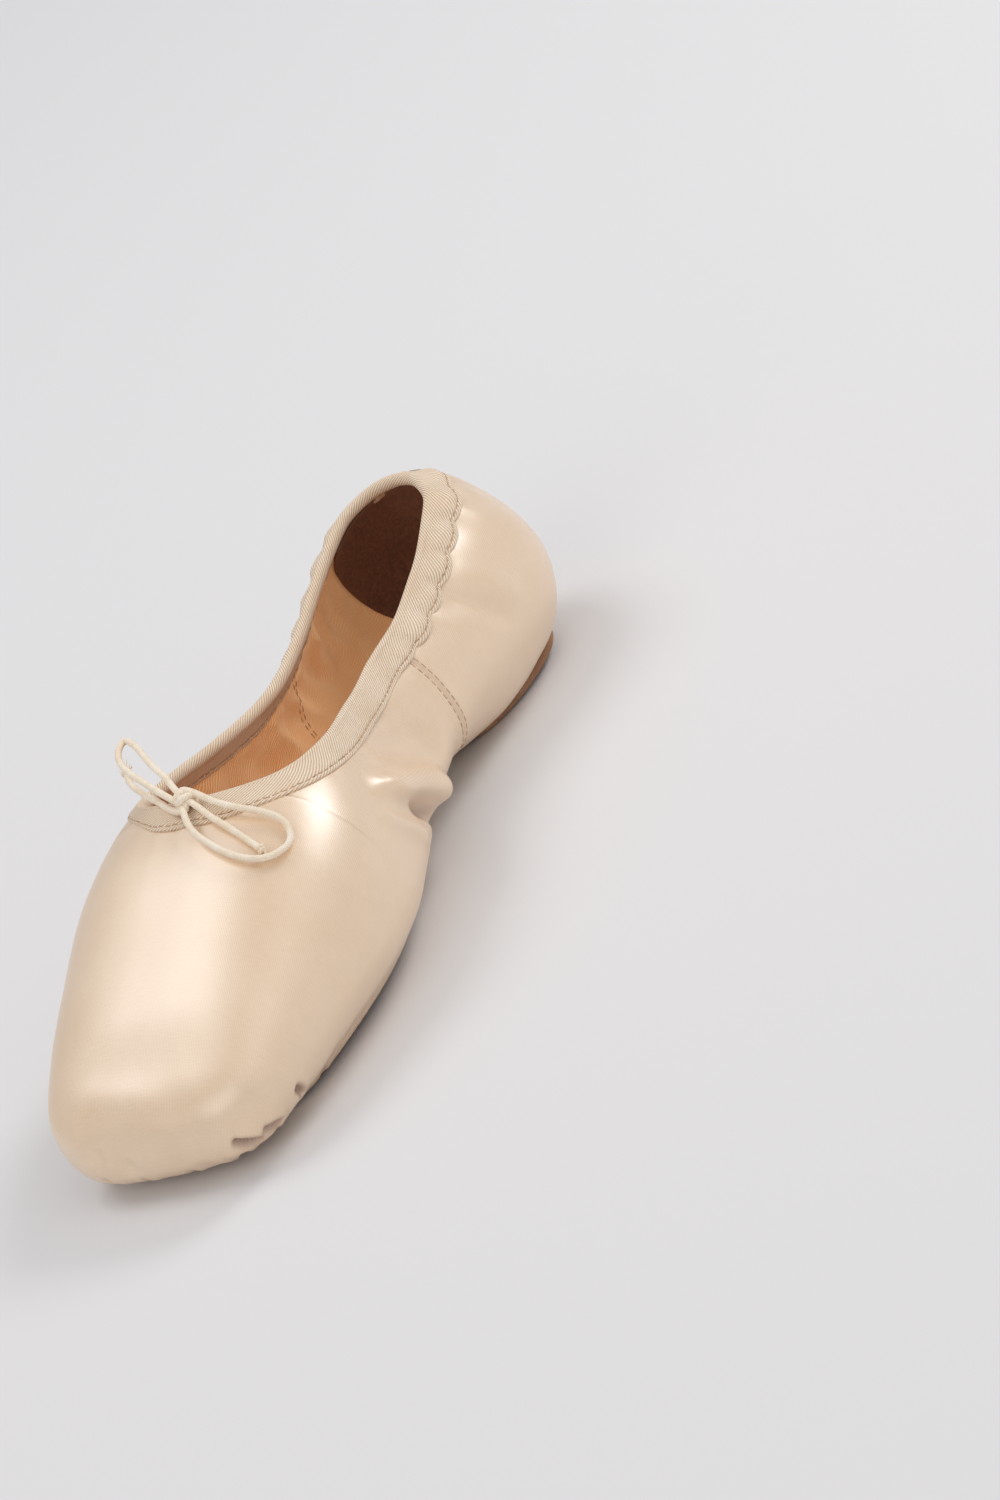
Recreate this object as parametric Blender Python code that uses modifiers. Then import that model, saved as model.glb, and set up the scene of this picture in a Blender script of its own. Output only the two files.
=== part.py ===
# Pointe shoe standing empty on its sole, toe towards -Y, metres, +Z up.
# The origin is on the floor, under the middle of the shoe's length.
import math

import bmesh
import bpy
import numpy as np
from mathutils import Matrix, Vector

# Outside sizes of the shoe
LENGTH = 0.236
BALL_WIDTH = 0.084
PLATFORM_WIDTH = 0.050
WAIST_WIDTH = 0.050
HEEL_WIDTH = 0.059
PLATFORM_HEIGHT = 0.027
INSTEP_HEIGHT = 0.056
SIDE_HEIGHT = 0.044
HEEL_HEIGHT = 0.059
WIDEST_HEIGHT = 0.016
ARCH_RISE = 0.006
VAMP_LENGTH = 0.084
PLATFORM_LEAN = 0.005

# Where the ribs at the two ends fan out from, measured in from each end
TOE_FAN = 0.036
HEEL_FAN = 0.031

# Thicknesses and the clearance between pieces that touch
WALL = 0.0020
OUTSOLE_THICKNESS = 0.0020
HEEL_PAD_THICKNESS = 0.0020
INSOLE_THICKNESS = 0.0018
TAPE_THICKNESS = 0.0005
STRIP_THICKNESS = 0.0007
GAP = 0.0003
SEAM_GAP = 0.0005
SOLE_GAP = 0.0004
INSOLE_GAP = 0.0007

# Binding round the throat and the strip up the heel
BINDING_WIDTH = 0.0095
STRIP_WIDTH = 0.0125
STRIP_ROWS = 14
STRIP_COLUMNS = 3
STRIP_SEARCH = 2 * STRIP_WIDTH

# Outline of the leather pieces under the shoe
OUTSOLE_FRONT = 0.027
OUTSOLE_REACH = 0.6
OUTSOLE_BACK = OUTSOLE_REACH * LENGTH
OUTSOLE_WIDTH = 0.058
HEEL_PAD_INSET = 0.013
HEEL_PAD_LENGTH = 0.051
HEEL_PAD_WIDTH = 0.039
HEEL_PAD_BACK = LENGTH - HEEL_PAD_INSET
LASTING_MARGIN = 0.009

# Outline of the sock inside
INSOLE_INSET = 0.014
INSOLE_FRONT = 0.022
INSOLE_BACK = LENGTH - INSOLE_INSET
INSOLE_WIDTH = 0.048

# Elastic drawstring: its cord, its knot and the size of the bow
CORD_DIAMETER = 0.0020
CORD_ROUNDNESS = 2
KNOT_SIZE = (0.0052, 0.0046, 0.0042)
KNOT_SIDE = 0.0008
KNOT_BACK = 0.0037
KNOT_LIFT = 0.0032
LOOP_LENGTH = 0.030

# Mesh fineness
RIB_STEP = 0.0062
THROAT_RIBS = 6
THROAT_RUN = 0.025
THROAT_CROWDING = 1.6
BAND_CROWDING = 2
LOWER_ROWS = 7
UPPER_ROWS = 6
LOWER_SHARE = 0.5
BINDING_ROWS = 3
PLATE_RINGS = (0.0, 0.3, 0.6, 0.86, 1.0)
PLATE_STEP = 0.006
KNOT_MESH = (16, 10)
POINT_SPACING = 2 * CORD_DIAMETER
DENSE = 60
FLAT_POINTS = 20
STRIP_RIBS = 30
MERGE = 0.00001
SHARP_ANGLE = 50

# Outline of the shoe from above, on one side, from the toe to the heel
PLAN = (
    # along LENGTH, the width it follows, share of half that width
    (0.000, PLATFORM_WIDTH, 0.00),
    (0.002, PLATFORM_WIDTH, 0.45),
    (0.012, PLATFORM_WIDTH, 0.88),
    (0.045, PLATFORM_WIDTH, 1.22),
    (0.110, BALL_WIDTH, 0.84),
    (0.200, BALL_WIDTH, 0.93),
    (0.290, BALL_WIDTH, 1.00),
    (0.370, BALL_WIDTH, 0.97),
    (0.460, BALL_WIDTH, 0.82),
    (0.560, WAIST_WIDTH, 1.09),
    (0.650, WAIST_WIDTH, 1.00),
    (0.740, HEEL_WIDTH, 0.92),
    (0.840, HEEL_WIDTH, 1.00),
    (0.920, HEEL_WIDTH, 0.91),
    (0.972, HEEL_WIDTH, 0.62),
    (0.993, HEEL_WIDTH, 0.32),
    (1.000, HEEL_WIDTH, 0.00),
)

# Shape of the closed section at each place along the shoe
SECTIONS = (
    # along LENGTH, low of ARCH_RISE, rise from platform to instep, widest point
    # of WIDEST_HEIGHT, flat share underneath, roundness under and over
    (0.00, -0.16, 0.00, 0.80, 0.50, 2.5, 3.0),
    (0.05, -0.12, 0.10, 0.85, 0.50, 2.4, 2.9),
    (0.12, 0.03, 0.34, 0.90, 0.50, 2.2, 2.8),
    (0.18, 0.00, 0.54, 0.95, 0.48, 2.1, 2.7),
    (0.30, 0.00, 0.90, 1.00, 0.46, 2.0, 2.6),
    (0.38, 0.00, 1.03, 1.00, 0.46, 2.0, 2.5),
    (0.46, 0.15, 1.06, 1.00, 0.42, 2.0, 2.3),
    (0.55, 0.75, 0.94, 1.05, 0.34, 2.0, 2.1),
    (0.64, 1.00, 0.80, 1.10, 0.28, 2.0, 2.0),
    (0.71, 0.40, 0.83, 1.15, 0.34, 2.0, 2.0),
    (0.78, 0.00, 0.94, 1.20, 0.42, 2.0, 2.0),
    (0.88, 0.00, 1.10, 1.25, 0.42, 2.0, 2.0),
    (0.94, 0.10, 1.15, 1.25, 0.40, 2.0, 1.9),
    (1.00, 0.40, 1.17, 1.25, 0.35, 2.0, 1.9),
)

# Height of the throat line, from the throat's front to the heel
TOPLINE = (
    # along the throat, share of the front height, share of the heel height
    (0.00, 1.00, 0.00),
    (0.05, 0.80, 0.00),
    (0.14, 0.54, 0.00),
    (0.27, 0.22, 0.00),
    (0.40, 0.02, 0.00),
    (0.52, 0.00, 0.03),
    (0.65, 0.00, 0.28),
    (0.77, 0.00, 0.62),
    (0.88, 0.00, 0.88),
    (1.00, 0.00, 1.00),
)

# Outlines of the leather pieces, on one side, from front to back
OUTSOLE_OUTLINE = (
    # along the piece, share of half its width
    (0.000, 0.00),
    (0.004, 0.36),
    (0.040, 0.70),
    (0.140, 0.90),
    (0.320, 1.00),
    (0.520, 0.95),
    (0.720, 0.72),
    (0.880, 0.43),
    (0.965, 0.22),
    (1.000, 0.00),
)
HEEL_PAD_OUTLINE = (
    (0.000, 0.00),
    (0.030, 0.30),
    (0.160, 0.62),
    (0.380, 0.88),
    (0.640, 1.00),
    (0.860, 0.88),
    (0.970, 0.50),
    (1.000, 0.00),
)

INSOLE_OUTLINE = (
    (0.000, 0.00),
    (0.010, 0.40),
    (0.050, 0.64),
    (0.150, 0.87),
    (0.320, 1.00),
    (0.480, 0.86),
    (0.620, 0.60),
    (0.760, 0.60),
    (0.880, 0.68),
    (0.960, 0.50),
    (0.990, 0.25),
    (1.000, 0.00),
)

# Routes of the cord, from the knot, in shares of LOOP_LENGTH
LOOP_NEAR = (
    # across, towards the heel, above the closed form of the vamp
    (0.02, -0.105, 0.11),
    (0.17, -0.32, 0.10),
    (0.41, -0.49, 0.08),
    (0.66, -0.59, 0.07),
    (0.85, -0.57, 0.06),
    (0.97, -0.45, 0.06),
    (0.99, -0.32, 0.06),
    (0.91, -0.20, 0.07),
    (0.75, -0.16, 0.08),
    (0.55, -0.14, 0.09),
    (0.34, -0.09, 0.11),
    (0.11, 0.03, 0.12),
)
END_NEAR = (
    (0.10, -0.05, 0.10),
    (0.31, -0.20, 0.08),
    (0.53, -0.33, 0.06),
    (0.81, -0.49, 0.05),
)
LOOP_FAR = (
    (-0.07, 0.07, 0.12),
    (-0.23, 0.22, 0.19),
    (-0.41, 0.37, 0.26),
    (-0.63, 0.59, 0.38),
    (-0.76, 0.68, 0.47),
    (-0.79, 0.62, 0.48),
    (-0.76, 0.49, 0.42),
    (-0.64, 0.35, 0.32),
    (-0.40, 0.18, 0.21),
    (-0.10, 0.00, 0.13),
)
END_FAR = (
    (-0.11, -0.05, 0.07),
    (-0.32, 0.10, 0.07),
    (-0.59, 0.31, 0.09),
    (-0.76, 0.45, 0.18),
    (-0.84, 0.57, 0.28),
)

# Finishes: red, green, blue and roughness
FINISHES = {
    "satin": (0.80, 0.66, 0.53, 0.42),
    "cotton": (0.78, 0.68, 0.57, 0.80),
    "sole leather": (0.30, 0.17, 0.11, 0.72),
    "pad leather": (0.38, 0.22, 0.14, 0.78),
    "suede": (0.09, 0.05, 0.035, 0.92),
    "elastic": (0.79, 0.66, 0.49, 0.75),
}


def hermite(t, start, end, leaving, arriving):
    """A smooth step from start to end over t from 0 to 1, with the given slopes at its ends."""
    rise = (2 * t**3 - 3 * t**2 + 1) * start + (3 * t**2 - 2 * t**3) * end
    return rise + (t**3 - 2 * t**2 + t) * leaving + (t**3 - t**2) * arriving


def column(table, index, share):
    """A column of a table at any share along it, smooth and with no overshoot."""
    xs = np.array([row[0] for row in table])
    ys = np.array([row[index] for row in table])
    steps = np.diff(ys) / np.diff(xs)
    slopes = np.zeros(len(xs))
    rising = steps[:-1] * steps[1:] > 0
    slopes[1:-1][rising] = 2 * steps[:-1][rising] * steps[1:][rising] / (steps[:-1] + steps[1:])[rising]
    slopes[0], slopes[-1] = steps[0], steps[-1]
    share = np.clip(share, xs[0], xs[-1])
    i = np.clip(np.searchsorted(xs, share) - 1, 0, len(xs) - 2)
    width = xs[i + 1] - xs[i]
    return hermite((share - xs[i]) / width, ys[i], ys[i + 1], width * slopes[i], width * slopes[i + 1])


def lengths_along(points):
    """Distance along a polyline at each of its points."""
    return np.concatenate([[0.0], np.cumsum(np.linalg.norm(np.diff(points, axis=0), axis=1))])


def at_distance(points, distance):
    """Points of a polyline at the given distances along it."""
    along = lengths_along(points)
    return np.stack([np.interp(distance, along, points[:, k]) for k in range(points.shape[1])], axis=-1)


def smooth_through(points):
    """A dense smooth curve through points of one side, crossing the middle line squarely at both ends."""
    flip = np.array([-1.0, 1.0])
    ring = np.array([points[1] * flip, *points, points[-2] * flip])
    knots = lengths_along(ring)
    found = []
    for i in range(1, len(ring) - 2):
        span = knots[i + 1] - knots[i]
        leaving = (ring[i + 1] - ring[i - 1]) / (knots[i + 1] - knots[i - 1]) * span
        arriving = (ring[i + 2] - ring[i]) / (knots[i + 2] - knots[i]) * span
        found.extend(hermite(t, ring[i], ring[i + 1], leaving, arriving) for t in np.arange(DENSE) / DENSE)
    return np.array([*found, points[-1]])


OUTLINE = smooth_through(np.array([(share * width / 2, along * LENGTH) for along, width, share in PLAN]))
BOTTOM = OUTSOLE_THICKNESS + SOLE_GAP


def heights(y):
    """Lowest, widest and crown heights of the closed form at distance y from the toe."""
    share = y / LENGTH
    low = BOTTOM + ARCH_RISE * column(SECTIONS, 1, share)
    crown = PLATFORM_HEIGHT + (INSTEP_HEIGHT - PLATFORM_HEIGHT) * column(SECTIONS, 2, share)
    widest = BOTTOM + WIDEST_HEIGHT * column(SECTIONS, 3, share)
    return low, widest, crown


def spine(y):
    """The middle-line point that the rib through an outline point starts from."""
    return np.clip(y, TOE_FAN, LENGTH - HEEL_FAN)


def rib(outline_point):
    """One rib of the closed form, from the middle line underneath, round the side, to the crown."""
    x_out, y_out = outline_point
    share = y_out / LENGTH
    flat, under, over = (float(column(SECTIONS, k, share)) for k in (4, 5, 6))
    turn = np.linspace(0.0, math.pi / 2, DENSE)
    bare = np.linspace(0.0, flat, FLAT_POINTS, endpoint=False)
    reach = np.concatenate([bare, flat + (1 - flat) * np.sin(turn) ** (2 / under), np.cos(turn[1:]) ** (2 / over)])
    lift = np.concatenate([-np.ones(len(bare)), -np.cos(turn) ** (2 / under), np.sin(turn[1:]) ** (2 / over)])
    start = spine(y_out)
    y = start + reach * (y_out - start)
    low, widest, crown = heights(y)
    z = widest + np.where(lift < 0, lift * (widest - low), lift * (crown - widest))
    lean = PLATFORM_LEAN * np.maximum(0, 1 - y / TOE_FAN) ** 2 * (z - BOTTOM) / PLATFORM_HEIGHT
    return np.stack([reach * x_out, y + lean, z], axis=-1)


def topline(y):
    """Height of the throat line at y. In front of the throat it is above the crown."""
    share = (y - VAMP_LENGTH) / (LENGTH - VAMP_LENGTH)
    front = heights(VAMP_LENGTH)[2]
    z = SIDE_HEIGHT + (front - SIDE_HEIGHT) * column(TOPLINE, 1, share)
    z = z + (HEEL_HEIGHT - SIDE_HEIGHT) * column(TOPLINE, 2, share)
    return np.where(y < VAMP_LENGTH + MERGE, LENGTH, z)


def throat_opening(points):
    """How far down a rib, from the crown, the throat line crosses it. Nought in front of the throat."""
    above = points[:, 2] - topline(points[:, 1])
    crossed = np.nonzero(above > 0)[0]
    if len(crossed) == 0:
        return 0.0
    i = crossed[0]
    along = lengths_along(points)
    t = above[i - 1] / (above[i - 1] - above[i])
    return along[-1] - (along[i - 1] + t * (along[i] - along[i - 1]))


def rib_places():
    """Distances along the outline of all ribs: even, and closer where the throat opens."""
    along = lengths_along(OUTLINE)
    opens = float(np.interp(VAMP_LENGTH, OUTLINE[:, 1], along))
    band = opens - BINDING_WIDTH - SEAM_GAP
    ends = opens + THROAT_RUN
    steps = np.arange(1, THROAT_RIBS + 1) / THROAT_RIBS
    toe = np.linspace(0, band, round(band / RIB_STEP) + 1)
    cap = opens - BINDING_WIDTH + BINDING_WIDTH * np.concatenate([[0.0], steps**BAND_CROWDING])
    throat = opens + THROAT_RUN * steps**THROAT_CROWDING
    rest = np.linspace(ends, along[-1], round((along[-1] - ends) / RIB_STEP) + 1)[1:]
    return np.concatenate([toe, cap, throat, rest])


def band_edge(places, openings, width):
    """How far down each rib, from the crown, a band of that width round the throat reaches."""
    apart = places[:, None] - places[None, :]
    reach = openings[None, :] + np.sqrt(np.maximum(width**2 - apart**2, 0))
    front = np.nonzero(openings > 0)[0][0] - 1
    open_here = np.arange(len(places))[None, :] >= front
    return np.where((np.abs(apart) <= width) & open_here, reach, 0).max(axis=1)


def between(points, start, end, rows):
    """Evenly spaced points of a rib, from start along it to end before its crown."""
    total = lengths_along(points)[-1]
    return at_distance(points, np.linspace(start, total - end, rows + 1))


def wall(points, start, end):
    """Points of a rib in two even runs, so that the lower run is the same on either side of the throat's front."""
    half = LOWER_SHARE * lengths_along(points)[-1]
    return np.concatenate([between(points, start, half, LOWER_ROWS), between(points, half, end, UPPER_ROWS)[1:]])


def opening_underneath(y):
    """Half-width of the hole in the upper that the outsole closes."""
    front = OUTSOLE_FRONT + LASTING_MARGIN
    back = OUTSOLE_BACK - LASTING_MARGIN
    share = (2 * y - front - back) / (back - front)
    return (OUTSOLE_WIDTH / 2 - LASTING_MARGIN) * math.sqrt(max(0.0, 1 - share**2))


def underside(x, y):
    """Point of the closed form's underside above the plan point (x, y), on the side where x is not negative."""
    start = float(spine(y))
    if start == y:
        reach_out = float(np.interp(y, OUTLINE[:, 1], OUTLINE[:, 0]))
        y_out = y
        away = x
    else:
        away = math.hypot(x, y - start)
        bearing = np.arctan2(OUTLINE[:, 0], (OUTLINE[:, 1] - start) * np.sign(y - start))
        order = np.argsort(bearing)
        angle = math.atan2(x, abs(y - start))
        x_edge = float(np.interp(angle, bearing[order], OUTLINE[order, 0]))
        y_out = float(np.interp(angle, bearing[order], OUTLINE[order, 1]))
        reach_out = math.hypot(x_edge, y_out - start)
    flat, under = (float(column(SECTIONS, k, y_out / LENGTH)) for k in (4, 5))
    curve = max(0.0, (away / reach_out - flat) / (1 - flat))
    low, widest, _ = heights(np.array([y]))
    drop = (1 - min(curve, 1.0) ** under) ** (1 / under)
    return np.array([x, y, float(widest[0] - drop * (widest[0] - low[0]))])


def material(name, finish):
    red, green, blue, roughness = FINISHES[finish]
    made = bpy.data.materials.new(name)
    made.use_nodes = True
    shader = made.node_tree.nodes["Principled BSDF"]
    shader.inputs["Base Color"].default_value = (red, green, blue, 1)
    shader.inputs["Roughness"].default_value = roughness
    shader.inputs["Metallic"].default_value = 0.0
    return made


def place(name, data, finish):
    """An object of the shoe, carried by the shoe's empty."""
    made = bpy.data.objects.new(name, data)
    made.data.materials.append(material(name, finish))
    PARTS.objects.link(made)
    made.parent = SHOE
    return made


def loft(name, rows, finish):
    """A skin through rows of points, one side of the shoe, with coinciding points merged."""
    mesh = bpy.data.meshes.new(name)
    skin = bmesh.new()
    grid = [[skin.verts.new(point) for point in row] for row in rows]
    for one, other in zip(grid, grid[1:]):
        for k in range(len(one) - 1):
            skin.faces.new((one[k], other[k], other[k + 1], one[k + 1]))
    bmesh.ops.remove_doubles(skin, verts=skin.verts, dist=MERGE)
    bmesh.ops.dissolve_degenerate(skin, edges=skin.edges, dist=MERGE)
    for vertex in skin.verts:
        if abs(vertex.co.x) < MERGE:
            vertex.co.x = 0.0
    skin.to_mesh(mesh)
    skin.free()
    mesh.shade_smooth()
    mesh.set_sharp_from_angle(angle=math.radians(SHARP_ANGLE))
    return place(name, mesh, finish)


def thicken(piece, lift, thickness, side):
    """Mirrors a half skin, lifts it off the form by lift and gives it thickness: side 1 outwards, -1 inwards."""
    mirror = piece.modifiers.new("both sides", "MIRROR")
    mirror.merge_threshold = MERGE
    mirror.use_clip = True
    if lift:
        offset = piece.modifiers.new("clearance", "DISPLACE")
        offset.mid_level = 0.0
        offset.strength = lift
    shell = piece.modifiers.new("thickness", "SOLIDIFY")
    shell.thickness = thickness
    shell.offset = side
    shell.use_even_offset = True
    shell.use_quality_normals = True
    return piece


def make_upper_and_binding():
    """The satin upper and the tape bound over its edge, cut from the same ribs. Gives the foremost y."""
    places = rib_places()
    ribs = [rib(point) for point in at_distance(OUTLINE, places)]
    openings = np.array([throat_opening(points) for points in ribs])
    under_band = band_edge(places, openings, BINDING_WIDTH + SEAM_GAP)
    band = band_edge(places, openings, BINDING_WIDTH)
    upper = [wall(points, opening_underneath(points[0, 1]), edge) for points, edge in zip(ribs, under_band)]
    first = np.nonzero(band > MERGE)[0][0] - 1
    binding = [
        between(points, lengths_along(points)[-1] - edge, opening, BINDING_ROWS)
        for points, edge, opening in list(zip(ribs, band, openings))[first:]
    ]
    thicken(loft("upper", upper, "satin"), 0, WALL, -1)
    thicken(loft("binding", binding, "cotton"), TAPE_THICKNESS, WALL + 2 * TAPE_THICKNESS, -1)
    return min(points[:, 1].min() for points in ribs)


def plate(name, table, front, back, width, finish):
    """Half a flat piece under the foot, laid on the form's underside in rings round its middle line."""
    half = width / 2
    edge = smooth_through(np.array([(share * half, front + along * (back - front)) for along, share in table]))
    count = round(lengths_along(edge)[-1] / PLATE_STEP)
    edge = at_distance(edge, np.linspace(0, lengths_along(edge)[-1], count + 1))
    ends = np.clip(edge[:, 1], front + half, back - half)
    rows = []
    for (x, y), middle in zip(edge, ends):
        rows.append([underside(ring * x, middle + ring * (y - middle)) for ring in PLATE_RINGS])
    return loft(name, rows, finish)


def make_soles():
    """The outsole and heel pad under the upper and the insole inside it."""
    outsole = plate("outsole", OUTSOLE_OUTLINE, OUTSOLE_FRONT, OUTSOLE_BACK, OUTSOLE_WIDTH, "sole leather")
    thicken(outsole, SOLE_GAP, OUTSOLE_THICKNESS, 1)
    pad_front = HEEL_PAD_BACK - HEEL_PAD_LENGTH
    pad = plate("heel_pad", HEEL_PAD_OUTLINE, pad_front, HEEL_PAD_BACK, HEEL_PAD_WIDTH, "pad leather")
    thicken(pad, SOLE_GAP, HEEL_PAD_THICKNESS, 1)
    insole = plate("insole", INSOLE_OUTLINE, INSOLE_FRONT, INSOLE_BACK, INSOLE_WIDTH, "suede")
    thicken(insole, -WALL - INSOLE_GAP, INSOLE_THICKNESS, -1)


def make_back_strip():
    """The tape up the middle of the heel, from the heel pad to the binding."""
    total = lengths_along(OUTLINE)[-1]
    places = np.linspace(total - STRIP_SEARCH, total, STRIP_RIBS)
    ribs = np.array([rib(point) for point in at_distance(OUTLINE, places)])
    middle = ribs[-1]
    along = lengths_along(middle)
    start = along[np.nonzero(middle[:, 1] > HEEL_PAD_BACK + GAP)[0][0]]
    end = along[-1] - throat_opening(middle) - BINDING_WIDTH - GAP
    steps = np.interp(np.linspace(start, end, STRIP_ROWS + 1), along, np.arange(len(along)))
    rows = []
    for x in np.linspace(STRIP_WIDTH / 2, 0, STRIP_COLUMNS + 1):
        row = []
        for step in steps:
            k = min(int(step), len(along) - 2)
            level = ribs[:, k] + (step - k) * (ribs[:, k + 1] - ribs[:, k])
            row.append([x, np.interp(x, level[::-1, 0], level[::-1, 1]), np.interp(x, level[::-1, 0], level[::-1, 2])])
        rows.append(row)
    thicken(loft("back_strip", rows, "satin"), GAP, STRIP_THICKNESS, 1)


def vamp_height(x, y):
    """Height of the closed form's upper side at the plan point (x, y), y from the toe."""
    _, widest, crown = heights(np.array([y]))
    reach = abs(x) / float(np.interp(y, OUTLINE[:, 1], OUTLINE[:, 0]))
    over = float(column(SECTIONS, 6, y / LENGTH))
    return float(widest[0] + (crown[0] - widest[0]) * (1 - reach**over) ** (1 / over))


def smooth_route(points):
    """A dense smooth curve through a route's points."""
    route = np.array([2 * points[0] - points[1], *points, 2 * points[-1] - points[-2]])
    found = []
    for i in range(1, len(route) - 2):
        leaving = (route[i + 1] - route[i - 1]) / 2
        arriving = (route[i + 2] - route[i]) / 2
        found.extend(hermite(t, route[i], route[i + 1], leaving, arriving) for t in np.arange(DENSE) / DENSE)
    return np.array([*found, points[-1]])


def cord(name, route):
    """A round cord along one of the bow's routes."""
    x = KNOT_SIDE + LOOP_LENGTH * np.array([row[0] for row in route])
    y = VAMP_LENGTH - KNOT_BACK + LOOP_LENGTH * np.array([row[1] for row in route])
    z = [vamp_height(*place) + LOOP_LENGTH * row[2] for place, row in zip(zip(x, y), route)]
    dense = smooth_route(np.stack([x, y, z], axis=-1))
    length = lengths_along(dense)[-1]
    points = at_distance(dense, np.linspace(0, length, round(length / POINT_SPACING) + 1))
    line = bpy.data.curves.new(name, "CURVE")
    line.dimensions = "3D"
    line.bevel_depth = CORD_DIAMETER / 2
    line.bevel_resolution = CORD_ROUNDNESS
    line.use_fill_caps = True
    spline = line.splines.new("POLY")
    spline.points.add(len(points) - 1)
    for vertex, point in zip(spline.points, points):
        vertex.co = (*point, 1)
    place(name, line, "elastic")


def make_drawstring():
    """The bow at the front of the throat: a knot, two loops and two ends."""
    at = Vector((KNOT_SIDE, VAMP_LENGTH - KNOT_BACK, 0))
    at.z = vamp_height(at.x, at.y) + KNOT_LIFT
    columns, rows = KNOT_MESH
    mesh = bpy.data.meshes.new("drawstring_knot")
    ball = bmesh.new()
    shape = Matrix.LocRotScale(at, None, Vector(KNOT_SIZE))
    bmesh.ops.create_uvsphere(ball, u_segments=columns, v_segments=rows, radius=0.5, matrix=shape)
    ball.to_mesh(mesh)
    ball.free()
    mesh.shade_smooth()
    place("drawstring_knot", mesh, "elastic")
    cord("drawstring_loop_near", LOOP_NEAR)
    cord("drawstring_end_near", END_NEAR)
    cord("drawstring_loop_far", LOOP_FAR)
    cord("drawstring_end_far", END_FAR)


def clear_scene():
    for old in list(bpy.data.objects):
        bpy.data.objects.remove(old)


clear_scene()
PARTS = bpy.data.collections.new("pointe_shoe")
bpy.context.scene.collection.children.link(PARTS)
SHOE = bpy.data.objects.new("shoe", None)
PARTS.objects.link(SHOE)
front = make_upper_and_binding()
make_soles()
make_back_strip()
make_drawstring()
SHOE.location = (0, -(front + LENGTH + GAP + STRIP_THICKNESS) / 2, 0)
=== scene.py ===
import math

import bmesh
import bpy
import numpy as np
from mathutils import Matrix, Vector, noise
from mathutils.bvhtree import BVHTree


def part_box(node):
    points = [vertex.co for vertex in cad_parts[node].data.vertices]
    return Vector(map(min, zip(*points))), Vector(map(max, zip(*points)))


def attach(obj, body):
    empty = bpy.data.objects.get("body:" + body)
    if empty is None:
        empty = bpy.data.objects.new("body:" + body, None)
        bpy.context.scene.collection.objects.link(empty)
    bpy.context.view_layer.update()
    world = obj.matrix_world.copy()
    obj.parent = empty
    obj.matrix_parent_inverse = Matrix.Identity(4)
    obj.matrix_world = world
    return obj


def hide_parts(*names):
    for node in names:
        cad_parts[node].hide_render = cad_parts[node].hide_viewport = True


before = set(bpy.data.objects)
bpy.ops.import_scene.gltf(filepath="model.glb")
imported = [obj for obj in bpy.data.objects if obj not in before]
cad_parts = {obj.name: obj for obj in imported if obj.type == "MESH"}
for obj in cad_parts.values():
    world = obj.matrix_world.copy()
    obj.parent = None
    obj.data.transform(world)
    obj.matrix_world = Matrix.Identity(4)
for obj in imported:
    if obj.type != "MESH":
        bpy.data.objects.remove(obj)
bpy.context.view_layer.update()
mm = 0.001


# The last that the shoe is built on, as in the CAD
last = {
    "length": 0.236,
    "ball": 0.084,
    "platform": 0.050,
    "waist": 0.050,
    "heel": 0.059,
    "platformHeight": 0.027,
    "instepHeight": 0.056,
    "sideHeight": 0.044,
    "heelHeight": 0.059,
    "widestHeight": 0.016,
    "archRise": 0.006,
    "vamp": 0.084,
    "platformLean": 0.005,
    "toeFan": 0.036,
    "heelFan": 0.031,
    "bottom": 0.0024,
}
plan = [
    # along the length, the width it follows, share of half that width
    (0.000, "platform", 0.00),
    (0.002, "platform", 0.45),
    (0.012, "platform", 0.88),
    (0.045, "platform", 1.22),
    (0.110, "ball", 0.84),
    (0.200, "ball", 0.93),
    (0.290, "ball", 1.00),
    (0.370, "ball", 0.97),
    (0.460, "ball", 0.82),
    (0.560, "waist", 1.09),
    (0.650, "waist", 1.00),
    (0.740, "heel", 0.92),
    (0.840, "heel", 1.00),
    (0.920, "heel", 0.91),
    (0.972, "heel", 0.62),
    (0.993, "heel", 0.32),
    (1.000, "heel", 0.00),
]
sections = [
    # along the length, low, rise, widest, flat share, roundness under and over
    (0.00, -0.16, 0.00, 0.80, 0.50, 2.5, 3.0),
    (0.05, -0.12, 0.10, 0.85, 0.50, 2.4, 2.9),
    (0.12, 0.03, 0.34, 0.90, 0.50, 2.2, 2.8),
    (0.18, 0.00, 0.54, 0.95, 0.48, 2.1, 2.7),
    (0.30, 0.00, 0.90, 1.00, 0.46, 2.0, 2.6),
    (0.38, 0.00, 1.03, 1.00, 0.46, 2.0, 2.5),
    (0.46, 0.15, 1.06, 1.00, 0.42, 2.0, 2.3),
    (0.55, 0.75, 0.94, 1.05, 0.34, 2.0, 2.1),
    (0.64, 1.00, 0.80, 1.10, 0.28, 2.0, 2.0),
    (0.71, 0.40, 0.83, 1.15, 0.34, 2.0, 2.0),
    (0.78, 0.00, 0.94, 1.20, 0.42, 2.0, 2.0),
    (0.88, 0.00, 1.10, 1.25, 0.42, 2.0, 2.0),
    (0.94, 0.10, 1.15, 1.25, 0.40, 2.0, 1.9),
    (1.00, 0.40, 1.17, 1.25, 0.35, 2.0, 1.9),
]
throatHeights = [
    # along the throat, share of the front height, share of the heel height
    (0.00, 1.00, 0.00),
    (0.05, 0.80, 0.00),
    (0.14, 0.54, 0.00),
    (0.27, 0.22, 0.00),
    (0.40, 0.02, 0.00),
    (0.52, 0.00, 0.03),
    (0.65, 0.00, 0.28),
    (0.77, 0.00, 0.62),
    (0.88, 0.00, 0.88),
    (1.00, 0.00, 1.00),
]
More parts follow.
